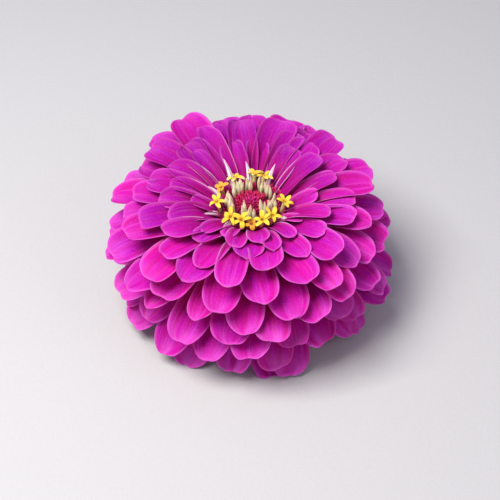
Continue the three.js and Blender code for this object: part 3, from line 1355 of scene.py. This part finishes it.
    def relief(self, at: Station, u: Field, fall: Field) -> Field:
        """Works out how far a petal's faces stand off its even blade: furrows, waves, dimples and thickness.

        Whole multiples of the petal's phase keep the waves and dimples of the petals out of step.

        Args:
            at: the station.
            u: how far along the petal it is.
            fall: how far it is from the widest place to the tip.

        Returns:
            The distance.
        """
        v, age, phase = at.across, at.seed(Store.AGE.value), at.seed(Store.PHASE.value)
        furrows = furrow_wave(v, phase) * at.common("furrow") * at.seed(Store.FURROWED.value)
        furrows = furrows * (1.0 - v * v) * u.share(0.0, 0.3) * (1.0 - fall * fall)
        waves = (u * at.common("wave_radians") + phase * 2.0).sin() * v * v * v
        waves = waves * at.common("wave") * u * (1.0 - age * 0.6)
        dimples = (u * at.common("dimple_radians") + phase * 5.0).sin()
        dimples = dimples * (v * at.common("dimple_radians_across") + phase * 3.0).cos() * at.common("dimple")
        return furrows + waves + dimples * u.share(0.2, 0.6) + at.face * at.common("thickness") * 0.5

    def uneven_tip(self, at: Station, u: Field, off: Field, fall: Field) -> Field:
        """Makes a petal's tip uneven: slightly ragged, slanted, and on some petals notched.

        Args:
            at: the station.
            u: how far along the petal it is.
            off: how far it is from the midrib, where -1 and 1 are the ends of the widest line across.
            fall: how far it is from the widest place to the tip.

        Returns:
            How far along the midrib it comes to lie.
        """
        phase, slant = at.seed(Store.PHASE.value), at.seed("slant")
        dent = at.common("notch") * at.seed("notched") * (1.0 - off * off) ** 6.0 * fall**4.0
        bumps = (off * at.common("ragged_radians") + phase * 3.0).cos() * at.common("ragged")
        bumps = bumps - at.common("ragged_inset")
        return u - dent + (bumps + slant * off - slant.size()) * fall * fall


@dataclass(frozen=True)
class RolledPetal:
    """A petal that is still rolled up: its place round the disc, its slope and its length."""

    azimuth: float
    pitch: float
    length: float


@dataclass
class RolledPetals(Growth):
    """The youngest petals, still rolled up and standing at the disc's edge with their pale outsides showing.

    Attributes:
        petals: where each one stands.
        bend: how much steeper than its slope a petal starts, and how much less steep it ends, in degrees.
        arc: how far a margin is turned up from the midrib, in radians. At pi the two would meet.
    """

    around: int = 14
    rings: int = 12
    name: str = "rolled_petals"
    finish: Finish = RolledFinish()
    petals: tuple[RolledPetal, ...] = (
        RolledPetal(60, 60, 10.0),
        RolledPetal(92, 62, 9.4),
        RolledPetal(124, 60, 12.2),
        RolledPetal(163, 64, 8.6),
        RolledPetal(199, 30, 6.8),
        RolledPetal(232, 40, 5.0),
        RolledPetal(328, 34, 5.4),
    )
    bend: Seeded = 14
    width: Size = Size(6.4, 0.15, 81)
    twist: Angle = Angle(0, 30, 82)
    veer: Angle = Angle(0, 8, 83)
    tone: Varied = Varied(0, 1, 84)
    last: float = 0.995
    thickness: float = 0.16
    arc: float = 3.1
    root_radius: float = 11.3
    root_height: float = 38.9

    def seeds(self) -> Seeds:
        """Places each rolled petal where it stands on the head.

        Returns:
            Each petal's sizes, by name.
        """
        azimuth, pitch, length = columns(self.petals)
        return {
            **self.varied(np.arange(len(self.petals), dtype=float)),
            "azimuth": np.radians(azimuth),
            "length": length,
            "root_pitch": np.radians(pitch + self.bend),
            "tip_pitch": np.radians(pitch - self.bend),
        }

    def rule(self, at: Station) -> tuple[Place, Field]:
        """Shapes a rolled petal: a tube whose margins meet, with a drawn-out point.

        Args:
            at: the station.

        Returns:
            The station's place, and its distance from the margin.
        """
        u, v = at.along * at.common("last"), at.across
        half = at.seed("width") * 0.5 * (0.5 + 0.5 * (u * math.pi * 0.85).sin()) * (1.0 - u**2.2) ** 0.8
        arc = at.common("arc")
        turn, inward = v * arc, at.face * at.common("thickness") * 0.5
        side = turn.sin() * (half / arc - inward)
        lift = half / arc - turn.cos() * (half / arc - inward)
        place = at.bent(side, lift).moved(x=at.common("root_radius"), z=at.common("root_height"))
        return place.swung(at.seed("azimuth")), (1.0 - v.size()) * half


@dataclass
class Receptacle(Turned):
    """The solid heart of the head, with a step for each ring of the disc and a low dome in the middle.

    Attributes:
        bottom_radius: its radius where the cup takes over.
        widest: its largest radius, and the height of that.
        open_part: radii, and heights over the step of the open florets.
        closed_part: the same over the step of the closed florets.
        chaff_part: the same over the step of the chaff.
    """

    name: str = "receptacle"
    finish: Finish = MottledFinish("receptacle", srgb("8a1048"), srgb("5c0830"))
    bottom_radius: float = 12.0
    widest: tuple[float, float] = (12.2, 28.0)
    open_part: Profile = ((11.8, -0.4), (11.3, 0.3))
    closed_part: Profile = ((10.9, 0.0), (8.9, 0.1))
    chaff_part: Profile = ((8.7, 0.0), (5.6, 0.1), (4.6, 0.9), (2.5, 1.5), (0.0, 1.7))

    def profile(self) -> Profile:
        """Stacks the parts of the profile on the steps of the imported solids.

        Returns:
            Radius and height pairs from the bottom up.
        """
        bottom = HEAD.receptacle_bottom
        points = [(0.0, bottom), (self.bottom_radius, bottom), self.widest]
        parts = (
            (HEAD.open_step, self.open_part),
            (HEAD.closed_step, self.closed_part),
            (HEAD.chaff_step, self.chaff_part),
        )
        for step, part in parts:
            points += [(radius, step + over) for radius, over in part]
        return tuple(points)


# ---------------------------------------------------------------- disc


@dataclass(frozen=True)
class OpenFloret:
    """An open disc floret.

    Attributes:
        azimuth: its place round the disc.
        lean: how far it leans outwards.
        height: its height as a share of the usual one.
        faded: how far it has shrunk and browned, from 0 to 1.
    """

    azimuth: float
    lean: float
    height: float
    faded: float = 0.0


OPEN_FLORETS = (
    OpenFloret(68, 15, 0.97),
    OpenFloret(84, 14, 1.03),
    OpenFloret(120, 14, 1.00),
    OpenFloret(151, 17, 0.86, 0.8),
    OpenFloret(191, 15, 1.00),
    OpenFloret(234, 15, 0.96),
    OpenFloret(254, 14, 1.00),
    OpenFloret(271, 20, 0.76, 1.0),
    OpenFloret(289, 14, 0.97),
    OpenFloret(308, 14, 1.03),
    OpenFloret(347, 14, 1.04),
)


@dataclass
class OpenFlorets(Growth):
    """What the parts of the open disc florets have in common: where their floret stands and how it leans."""

    node: Node = Node.OPEN
    finish: Finish = FloretFinish()
    root_radius: float = 10.5
    root_lift: float = 0.4
    tube_height: Seeded = 4.9

    def floret_seeds(self, floret: np.ndarray) -> Seeds:
        """Looks up the floret that each part belongs to.

        Args:
            floret: the places of the parts' florets in the list.

        Returns:
            The sizes of each part's floret, by name.
        """
        azimuth, lean, height, faded = columns(OPEN_FLORETS)[:, floret.astype(int)]
        return {
            "azimuth": np.radians(azimuth),
            "lean": np.radians(lean),
            "height": height * self.tube_height,
            Store.AGE.value: faded,
            Store.TONE.value: draw(floret, 24),
        }

    def standing(self, at: Station, place: Place) -> Place:
        """Stands a point of an upright floret on the open step.

        Args:
            at: the station.
            place: the point on a floret that stands at the origin.

        Returns:
            The point on the head.
        """
        place = place.leaned(at.seed("lean"))
        place = place.moved(x=at.common("root_radius"), z=at.common("root_lift") + HEAD.open_step)
        return place.swung(at.seed("azimuth"))


@dataclass
class OpenLobes(OpenFlorets):
    """The five spread lobes of each open floret.

    Attributes:
        lobe_stray: how far a lobe strays from its even place, as a share of the way to the next.
        floret_stray: how far each floret is turned, in the same way.
        shrunk: how much shorter the lobes of a faded floret are.
        throat: how far from the floret's middle its lobes start.
        cupped: how much a lobe's margins stand up, as a share of its width.
        groove: the depth of the groove along its middle.
    """

    around: int = 12
    rings: int = 10
    crowding: float = 1.5
    name: str = "open_floret_lobes"
    replaces: bool = True
    lobes: int = 5
    lobe_stray: Seeded = 0.17
    floret_stray: Seeded = 0.5
    shrunk: Seeded = 0.3
    length: Size = Size(3.1, 0.2, 32)
    width: Size = Size(1.95, 0.18, 33)
    root_pitch: Angle = Angle(40, 20, 34)
    tip_pitch: Angle = Angle(-34, 36, 35)
    twist: Angle = Angle(0, 32, 36)
    veer: Angle = Angle(0, 20, 37)
    last: float = 0.995
    thickness: float = 0.46
    throat: float = 0.5
    cupped: float = 0.2
    groove: float = 0.12

    def seeds(self) -> Seeds:
        """Spreads the lobes round each floret's mouth.

        Returns:
            Each lobe's sizes, by name.
        """
        k = np.arange(len(OPEN_FLORETS) * self.lobes, dtype=float)
        floret, lobe = np.divmod(k, self.lobes)
        shared, own = self.floret_seeds(floret), self.varied(k)
        own["length"] *= 1 - self.shrunk * shared[Store.AGE.value]
        stray = self.lobe_stray * draw(k, 31) + self.floret_stray * draw(floret, 38)
        return {**shared, **own, "turn": (lobe + stray) * (2 * np.pi / self.lobes)}

    def rule(self, at: Station) -> tuple[Place, Field]:
        """Shapes a lobe: a pointed oval with a groove along its middle, curling down at its end.

        Args:
            at: the station.

        Returns:
            The station's place, and its distance from the margin.
        """
        u, v = at.along * at.common("last"), at.across
        half = at.seed("width") * 0.5 * (u * 0.8 + 0.2) ** 0.5 * (1.0 - u**2.6) ** 0.65 * 1.15
        groove = (1.0 - v.size() * 3.0).at_least(0.0) * at.face.at_least(0.0) * at.common("groove")
        lift = v * v * half * at.common("cupped") - groove
        lift = lift + at.face * at.common("thickness") * (1.0 - u * 0.4) * 0.5
        place = at.bent(v * half, lift).moved(x=at.common("throat")).swung(at.seed("turn"))
        return self.standing(at, place.moved(z=at.seed("height"))), (1.0 - v.size()) * half


@dataclass
class OpenTubes(OpenFlorets):
    """The slender tubes of the open florets, each flaring into a hollow mouth.

    Attributes:
        rim_at: how far along the stations the rim is, after which they run down inside.
        neck: the tube's radius at its foot.
        mouth: its radius at the rim.
        bore: its radius at the bottom of the hollow.
        hollow: the depth of the hollow.
        rim_lift: how far the rim stands over the floret's height.
    """

    around: int = 14
    rings: int = 14
    name: str = "open_floret_tubes"
    finish: Finish = FloretFinish("floret_tube", srgb("efe08a"), srgb("c2bd72"), deep_until=0.6)
    rim_at: float = 0.75
    neck: float = 0.62
    mouth: float = 0.9
    bore: float = 0.2
    hollow: float = 1.3
    rim_lift: float = 0.1

    def seeds(self) -> Seeds:
        """Places one tube under each floret's lobes."""
        return self.floret_seeds(np.arange(len(OPEN_FLORETS), dtype=float))

    def rule(self, at: Station) -> tuple[Place, Field]:
        """Turns the tube's profile: up the outside to the rim, then down inside the mouth.

        Args:
            at: the station.

        Returns:
            The station's place, and how far down inside it is.
        """
        up, down = at.along.share(0.0, at.common("rim_at")), at.along.share(at.common("rim_at"), 1.0)
        neck, mouth = at.common("neck"), at.common("mouth")
        radius = neck.towards(mouth, up**3.0) - down * (mouth - at.common("bore"))
        height = (at.seed("height") + at.common("rim_lift")) * up - down * at.common("hollow")
        return self.standing(at, Place(radius * at.across, radius * at.face, height)), down


@dataclass
class Anthers(OpenFlorets):
    """The short column in each open floret's mouth, with its forked style.

    Attributes:
        tall: each column's length as a share of the reach.
        radius: its largest radius.
        reach: its usual length.
        below: how far under the floret's height it starts.
    """

    around: int = 8
    rings: int = 8
    name: str = "open_floret_anthers"
    finish: Finish = FloretFinish("anthers", srgb("e8b81c"), srgb("8a5a10"), deep_until=0.8)
    tall: Varied = Varied(1, 0.3, 39)
    radius: float = 0.26
    reach: float = 1.5
    below: float = 0.9

    def seeds(self) -> Seeds:
        """Stands one column in each floret's mouth."""
        floret = np.arange(len(OPEN_FLORETS), dtype=float)
        return {**self.floret_seeds(floret), **self.varied(floret)}

    def rule(self, at: Station) -> tuple[Place, Field]:
        """Turns the column, which swells a little and closes in a blunt point.

        Args:
            at: the station.

        Returns:
            The station's place, and how far along it is.
        """
        radius = at.common("radius") * (0.75 + 0.25 * (at.along * math.pi).sin()) * (1.0 - at.along**4.0 * 0.9)
        height = at.seed("height") - at.common("below") + at.along * at.common("reach") * at.seed("tall")
        return self.standing(at, Place(radius * at.across, radius * at.face, height)), at.along


@dataclass
class ClosedFlorets(Growth):
    """The disc florets that are still closed, in two staggered rings that are taller and more upright in front.

    Attributes:
        turn_stray: how far a bud strays from its even place, as a share of the way to the next.
        bunches: how many loose bunches the buds draw together into.
        bunching: how far they do, in radians.
        bunch_phase: where the bunches lie, in radians of their own wave.
        taller_sides: how much taller the buds are at two opposite sides, as a share.
        taller_phase: where those sides are, in radians of their own wave.
        taller_front: how much taller they are in front, as a share.
        upright_front: how many degrees less they lean outwards in front.
        stagger: how far a bud is from the middle of the ring, by turns inwards and outwards.
    """

    around: int = 20
    rings: int = 16
    name: str = "closed_floret_buds"
    node: Node = Node.CLOSED
    replaces: bool = True
    finish: Finish = BudFinish()
    count: int = 34
    turn_stray: Seeded = 0.5
    bunches: int = 5
    bunching: Seeded = 0.11
    bunch_phase: Seeded = 0.8
    taller_sides: Seeded = 0.08
    taller_phase: Seeded = 2.4
    taller_front: Seeded = 0.26
    upright_front: Seeded = 10
    stagger: Varied = Varied(0.55, 0.4, 47)
    height: Size = Size(5.4, 0.18, 42)
    radius: Size = Size(0.7, 0.16, 43)
    lean: Angle = Angle(4, 12, 44)
    bow: Varied = Varied(0, 0.6, 46)
    tone: Varied = Varied(0, 1, 45)
    root_radius: float = 7.6
    root_lift: float = 0.4
    foot_share: float = 0.7
    seam_depth: float = 0.12

    def seeds(self) -> Seeds:
        """Places the buds by turns nearer and farther from the centre.

        Returns:
            Each bud's sizes, by name.
        """
        k = np.arange(self.count, dtype=float)
        turn = (k + self.turn_stray * draw(k, 41)) * (2 * np.pi / self.count)
        front = np.clip(-np.sin(turn), 0, 1)
        own = self.varied(k)
        own["stagger"] *= np.where(k % 2 == 0, -1.0, 1.0)
        own["height"] *= 1 + self.taller_sides * np.cos(2 * turn - self.taller_phase) + self.taller_front * front
        own["lean"] -= np.radians(self.upright_front) * front
        return {**own, "azimuth": turn + self.bunching * np.sin(self.bunches * turn - self.bunch_phase)}

    def rule(self, at: Station) -> tuple[Place, Field]:
        """Turns a bud: a slightly bowed club whose five closed lobes meet in a blunt point.

        Args:
            at: the station.

        Returns:
            The station's place, and how deep in a seam it is.
        """
        u = at.along
        turn = math_node(at.tree, "ARCTAN2", at.face, at.across)
        seam = (0.5 - (turn * 5.0).cos() * 0.5) ** 3.0 * u.eased(0.25, 0.7)
        foot = at.common("foot_share")
        radius = at.seed("radius") * (foot + (1.0 - foot) * u.eased(0.0, 0.6))
        radius = radius * (1.0 - u.share(0.5, 1.0) ** 1.7 * 0.98) ** 0.75
        radius = radius * (1.0 - seam * at.common("seam_depth"))
        bow = at.seed("bow") * u * (1.0 - u) * 4.0
        place = Place(radius * at.across, radius * at.face + bow, at.seed("height") * u).leaned(at.seed("lean"))
        out = at.common("root_radius") + at.seed("stagger")
        place = place.moved(x=out, z=at.common("root_lift") + HEAD.closed_step)
        return place.swung(at.seed("azimuth")), seam


@dataclass
class CentreChaff(Growth):
    """The pointed scales of the centre, by the golden angle over a low dome.

    Attributes:
        azimuth_stray: how far a scale strays from its place round the dome, in degrees.
        dome_radius: how far out the last scale stands.
        dome_rise: the height of the dome over the chaff's step.
        dome_fall: how much of it is lost at the edge, as a share.
        sunk: how far a scale's root lies under the dome.
        splay: how much further the scales of the edge lean outwards, in degrees.
        keel: how much a scale's margins stand up, as a share of its width.
    """

    around: int = 8
    rings: int = 4
    name: str = "centre_chaff_scales"
    node: Node = Node.CHAFF
    replaces: bool = True
    finish: Finish = ChaffFinish()
    count: int = 200
    azimuth_stray: Seeded = 16
    dome_radius: Seeded = 5.2
    dome_rise: Seeded = 1.9
    dome_fall: Seeded = 0.75
    sunk: Seeded = 0.4
    splay: Seeded = 25
    length: Size = Size(1.7, 0.5, 52)
    width: Size = Size(1.0, 0.3, 53)
    root_pitch: Angle = Angle(95, 14, 54)
    tip_pitch: Angle = Angle(60, 30, 55)
    twist: Angle = Angle(0, 60, 56)
    veer: Angle = Angle(0, 14, 57)
    tone: Varied = Varied(0, 1, 58)
    last: float = 0.99
    thickness: float = 0.3
    keel: float = 0.4

    def seeds(self) -> Seeds:
        """Spreads the scales evenly over the dome, leaning outwards towards its edge.

        Returns:
            Each scale's sizes, by name.
        """
        k = np.arange(self.count, dtype=float)
        share = np.sqrt((k + 0.5) / self.count)
        own = self.varied(k)
        own["root_pitch"] -= np.radians(self.splay) * share
        own["tip_pitch"] -= np.radians(self.splay) * share
        return {
            **own,
            "azimuth": np.radians(k * GOLDEN_ANGLE + self.azimuth_stray * draw(k, 51)),
            "radial": share * self.dome_radius,
            "base": self.dome_rise * (1 - self.dome_fall * share**2) - self.sunk,
            Store.AGE.value: share,
        }

    def rule(self, at: Station) -> tuple[Place, Field]:
        """Shapes a scale: keeled, with a short point.

        Args:
            at: the station.

        Returns:
            The station's place, and its distance from the margin.
        """
        u, v = at.along * at.common("last"), at.across
        half = at.seed("width") * 0.5 * (1.0 - u**2.6) ** 0.6
        lift = v.size() * half * at.common("keel") + at.face * at.common("thickness") * 0.5
        place = at.bent(v * half, lift).moved(x=at.seed("radial"), z=at.seed("base") + HEAD.chaff_step)
        return place.swung(at.seed("azimuth")), (1.0 - v.size()) * half


@dataclass(frozen=True)
class ChaffCircle:
    """A circle of scales: how many, how far out, how high over the open step, and how long."""

    count: int
    radius: float
    base: float
    length: float


@dataclass
class RingChaff(CentreChaff):
    """The taller scales that stand among the florets, one round the buds and one round the open florets.

    Attributes:
        circles: the circles.
        turn_stray: how far a scale strays from its even place, as a share of the way to the next.
        out_stray: how far it strays outwards or inwards.
        length: each scale's length as a share of its circle's.
    """

    rings: int = 6
    name: str = "ring_chaff_scales"
    replaces: bool = False
    circles: tuple[ChaffCircle, ...] = (ChaffCircle(34, 9.3, 0.7, 3.0), ChaffCircle(60, 11.1, 0.1, 2.7))
    turn_stray: Seeded = 0.25
    out_stray: Seeded = 0.25
    length: Size = Size(1, 0.16, 93)
    width: Size = Size(1.25, 0.2, 94)
    root_pitch: Angle = Angle(84, 6, 95)
    tip_pitch: Angle = Angle(58, 14, 96)
    twist: Angle = Angle(0, 30, 97)
    veer: Angle = Angle(0, 8, 98)
    tone: Varied = Varied(0, 1, 99)
    age: Varied = Varied(0.35, 0.2, 90)

    def seeds(self) -> Seeds:
        """Stands the scales in their circles.

        Returns:
            Each scale's sizes, by name.
        """
        _, (count, radial, base, length) = columns_of_parts(self.circles)
        k = np.arange(len(count), dtype=float)
        own = self.varied(k)
        own["length"] *= length
        return {
            **own,
            "azimuth": (k + self.turn_stray * draw(k, 91)) * 2 * np.pi / count,
            "radial": radial + self.out_stray * draw(k, 92),
            "base": base + HEAD.open_step - HEAD.chaff_step,
        }


# ---------------------------------------------------------------- underside

# The bowl of the cup, which the bracts lie on.
BOWL_RADIUS = 12.4
BOWL_DEPTH = 10.6


@dataclass
class Cup(Turned):
    """The bowl under the petals that carries the bracts, and the stub of the stem.

    Attributes:
        stem: radii, and heights over the stem's cut end.
        bowl_radius: the bowl's radius at its rim.
        bowl_depth: its depth, from the receptacle down.
        foot: the angle up the bowl at which it leaves the stem, in degrees.
        step: the angle from one point of its profile to the next.
    """

    name: str = "cup_and_stem"
    node: Node = Node.GREEN
    finish: Finish = GreenFinish("stem_green")
    replaces: bool = True
    stem: Profile = ((0.0, 0.0), (2.2, 0.0), (2.32, 0.2), (2.3, 3.0), (2.6, 4.9))
    bowl_radius: float = BOWL_RADIUS
    bowl_depth: float = BOWL_DEPTH
    foot: int = 16
    step: int = 6

    def profile(self) -> Profile:
        """Runs up the stem and out along half an ellipse to the bowl's rim.

        Returns:
            Radius and height pairs from the bottom up.
        """
        top = HEAD.receptacle_bottom
        angles = [math.radians(degrees) for degrees in range(self.foot, 91, self.step)]
        stem = [(radius, HEAD.cut + over) for radius, over in self.stem]
        bowl = [(self.bowl_radius * math.sin(a), top - self.bowl_depth * math.cos(a)) for a in angles]
        return (*stem, *bowl, (0.0, top))


@dataclass(frozen=True)
class BractRow:
    """A row of bracts: how many, the angles up the bowl between which they run, and their width."""

    count: int
    start: float
    end: float
    width: float


@dataclass
class Bracts(Growth):
    """The overlapping green bracts of the cup under the petals.

    Attributes:
        rows: the rows, from the foot of the bowl up.
        end: how far a bract's tip strays up or down the bowl.
        width: each bract's width as a share of its row's.
        aside: how far one margin stands off more than the other.
        tip_lift: how far a tip stands off the bowl.
        clear: how far the whole bract does.
        folded: how far the margins lie closer to the bowl than the middle does.
        rim_reach: what the whole length counts for where the finish reads how near the tip is.
    """

    around: int = 16
    rings: int = 12
    name: str = "cup_bracts"
    node: Node = Node.GREEN
    finish: Finish = GreenFinish("bract_green", edged=True)
    rows: tuple[BractRow, ...] = (BractRow(7, 24, 56, 7.6), BractRow(8, 43, 71, 8.6), BractRow(9, 60, 85, 9.0))
    end: Angle = Angle(0, 2, 62)
    width: Size = Size(1, 0.06, 63)
    aside: Varied = Varied(0, 0.12, 64)
    tone: Varied = Varied(0, 1, 61)
    last: float = 0.99
    thickness: float = 0.5
    bowl_radius: float = BOWL_RADIUS
    bowl_depth: float = BOWL_DEPTH
    tip_lift: float = 0.7
    clear: float = 0.1
    folded: float = 0.2
    rim_reach: float = 5.0

    def seeds(self) -> Seeds:
        """Places the rows, each turned by half a bract from the one below.

        Returns:
            Each bract's sizes, by name.
        """
        row, (count, start, end, width) = columns_of_parts(self.rows)
        k = np.arange(len(row), dtype=float)
        own = self.varied(k)
        own["end"] += np.radians(end)
        own["width"] *= width
        turn = k - np.searchsorted(row, row) + row / 2
        return {**own, "azimuth": turn * 2 * np.pi / count, "start": np.radians(start)}

    def rule(self, at: Station) -> tuple[Place, Field]:
        """Lays a bract on the bowl, with its blunt tip standing a little off.

        Args:
            at: the station.

        Returns:
            The station's place, and its distance from the margin.
        """
        u, v = at.along * at.common("last"), at.across
        half = at.seed("width") * 0.5 * (0.8 + 0.2 * u) * (1.0 - u**3.4) ** 0.5
        angle = at.seed("start").towards(at.seed("end"), u)
        radius, depth = at.common("bowl_radius"), at.common("bowl_depth")
        steep, level = angle.sin() * depth, angle.cos() * radius
        off = u * u * at.common("tip_lift") + at.seed("aside") * v + at.common("clear")
        off = off - at.face * at.common("thickness") * 0.5 - v * v * u * at.common("folded")
        stretch = (steep * steep + level * level) ** 0.5
        out = angle.sin() * radius + off * steep / stretch
        up = HEAD.receptacle_bottom - angle.cos() * depth - off * level / stretch
        place = Place(out, out * 0.0, up).swung(at.seed("azimuth") + v * half / out)
        return place, ((1.0 - v.size()) * half).at_most((1.0 - u) * at.common("rim_reach"))


@dataclass
class StemHairs(Growth):
    """The short stiff hairs of the stem.

    Attributes:
        lowest: how far over the cut end the first hair grows.
        rise: how much higher the last one does.
        pitch: how steeply a hair points up.
        size: its length as a share of the usual one.
        sunk: how far its root lies in the stem.
    """

    around: int = 3
    rings: int = 2
    name: str = "stem_hairs"
    node: Node = Node.GREEN
    finish: Finish = GreenFinish("hair_green", srgb("b7c48c"), srgb("8fa060"))
    count: int = 260
    lowest: Seeded = 0.5
    rise: Seeded = 5.2
    pitch: Angle = Angle(20, 25, 71)
    size: Varied = Varied(1, 0.3, 72)
    stem_radius: float = 2.3
    sunk: float = 0.1
    length: float = 0.9
    thickness: float = 0.1

    def seeds(self) -> Seeds:
        """Spreads the hairs evenly over the stem, clear of its cut end.

        Returns:
            Each hair's sizes, by name.
        """
        k = np.arange(self.count, dtype=float)
        height = self.lowest + (k / self.count) * self.rise
        return {**self.varied(k), "azimuth": np.radians(k * GOLDEN_ANGLE), "height": height}

    def rule(self, at: Station) -> tuple[Place, Field]:
        """Shapes a hair: a fine spike leaning up from the stem.

        Args:
            at: the station.

        Returns:
            The station's place, and how far along it is.
        """
        radius = (1.0 - at.along * 0.9) * at.common("thickness") * 0.5
        length = at.common("length") * at.seed("size")
        place = Place(at.along * length, radius * at.across, radius * at.face).leaned(-at.seed("pitch"))
        place = place.moved(x=at.common("stem_radius") - at.common("sunk"), z=at.seed("height") + HEAD.cut)
        return place.swung(at.seed("azimuth")), at.along


# ---------------------------------------------------------------- studio


@dataclass(frozen=True)
class Lamp:
    """A soft square lamp that faces the head.

    Attributes:
        name: its name.
        place: where it hangs, in metres.
        power: its power in watts.
        size: the side of its face, in metres.
    """

    name: str
    place: tuple[float, float, float]
    power: float
    size: float

    def hang(self, target: Vector) -> None:
        """Hangs the lamp.

        Args:
            target: the point that it faces, in metres.
        """
        data = bpy.data.lights.new(self.name, "AREA")
        data.energy = self.power
        data.size = self.size
        lamp = bpy.data.objects.new(self.name, data)
        lamp.location = self.place
        lamp.rotation_euler = (Vector(self.place) - target).to_track_quat("Z", "Y").to_euler()
        bpy.context.scene.collection.objects.link(lamp)


@dataclass(frozen=True)
class Studio:
    """A plain pale floor, soft light and a camera that looks down on the head as the photograph does.

    Attributes:
        elevation: the camera's height over the horizon, in degrees.
        distance: its distance from the disc, in metres.
        disc_height: the height of the point that the camera is turned to, in millimetres.
        disc_x: the disc's column in the image, in pixels.
        disc_y: its row.
        image_size: the image's width and height, in pixels.
        pixel: what a pixel spans at the disc, in millimetres.
        sensor: the camera's sensor width, in millimetres.
        floor_reach: how far the floor reaches each way, in metres.
        lit_height: the height of the point that the lamps face, in metres.
        sky: the colour of the light from all round.
        sky_strength: its strength.
    """

    elevation: float = 43.0
    distance: float = 0.5
    disc_height: float = 41.0
    disc_x: float = 251.0
    disc_y: float = 205.0
    image_size: float = 500.0
    pixel: float = 0.342
    sensor: float = 36.0
    floor_reach: float = 3.0
    floor_finish: Finish = MottledFinish("floor", srgb("cfcdc9"), srgb("cbc9c5"))
    lit_height: float = 0.03
    key: Lamp = Lamp("key", (-0.22, -0.12, 0.55), 4.3, 0.32)
    fill: Lamp = Lamp("fill", (0.5, -0.3, 0.45), 0.5, 0.4)
    sky: Colour = srgb("dedcff")
    sky_strength: float = 0.38

    def build(self) -> None:
        """Sets up floor, lights and camera."""
        self.floor()
        self.world()
        for lamp in (self.key, self.fill):
            lamp.hang(Vector((0, 0, self.lit_height)))
        self.camera()
        bpy.context.scene.view_settings.view_transform = "Standard"

    def floor(self) -> None:
        """Lays the floor."""
        far = self.floor_reach
        mesh = bpy.data.meshes.new("floor")
        mesh.from_pydata([(-far, -far, 0), (far, -far, 0), (far, far, 0), (-far, far, 0)], [], [(0, 1, 2, 3)])
        mesh.materials.append(self.floor_finish.material())
        floor = bpy.data.objects.new("floor", mesh)
        bpy.context.scene.collection.objects.link(floor)

    def world(self) -> None:
        """Lights everything softly from all round."""
        world = bpy.data.worlds.new("studio")
        world.use_nodes = True
        background = world.node_tree.nodes["Background"]
        background.inputs["Color"].default_value = (*self.sky, 1.0)
        background.inputs["Strength"].default_value = self.sky_strength
        bpy.context.scene.world = world

    def camera(self) -> None:
        """Places the camera, with the shift that frames the disc where the photograph has it."""
        slope = math.radians(self.elevation)
        back = Vector((0, -math.cos(slope), math.sin(slope)))
        disc = Vector((HEAD.axis_x * MM, HEAD.axis_y * MM, self.disc_height * MM))
        data = bpy.data.cameras.new("camera")
        data.sensor_width = self.sensor
        data.lens = self.sensor * self.distance / (self.image_size * self.pixel * MM)
        data.shift_x = 0.5 - self.disc_x / self.image_size
        data.shift_y = self.disc_y / self.image_size - 0.5
        camera = bpy.data.objects.new("camera", data)
        camera.location = disc + back * self.distance
        camera.rotation_euler = back.to_track_quat("Z", "Y").to_euler()
        bpy.context.scene.collection.objects.link(camera)
        bpy.context.scene.camera = camera


def main() -> None:
    """Builds and dresses every piece, then the studio."""
    logging.basicConfig(level=logging.INFO, format="%(name)s: %(message)s")
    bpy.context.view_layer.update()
    parts = (
        Petals(),
        RolledPetals(),
        Receptacle(),
        OpenLobes(),
        OpenTubes(),
        Anthers(),
        ClosedFlorets(),
        CentreChaff(),
        RingChaff(),
        Cup(),
        Bracts(),
        StemHairs(),
    )
    for part in parts:
        piece = part.build()
        piece.data.calc_loop_triangles()
        log.info("%s: %d triangles", piece.name, len(piece.data.loop_triangles))
    Studio().build()


if __name__ == "__main__":
    main()
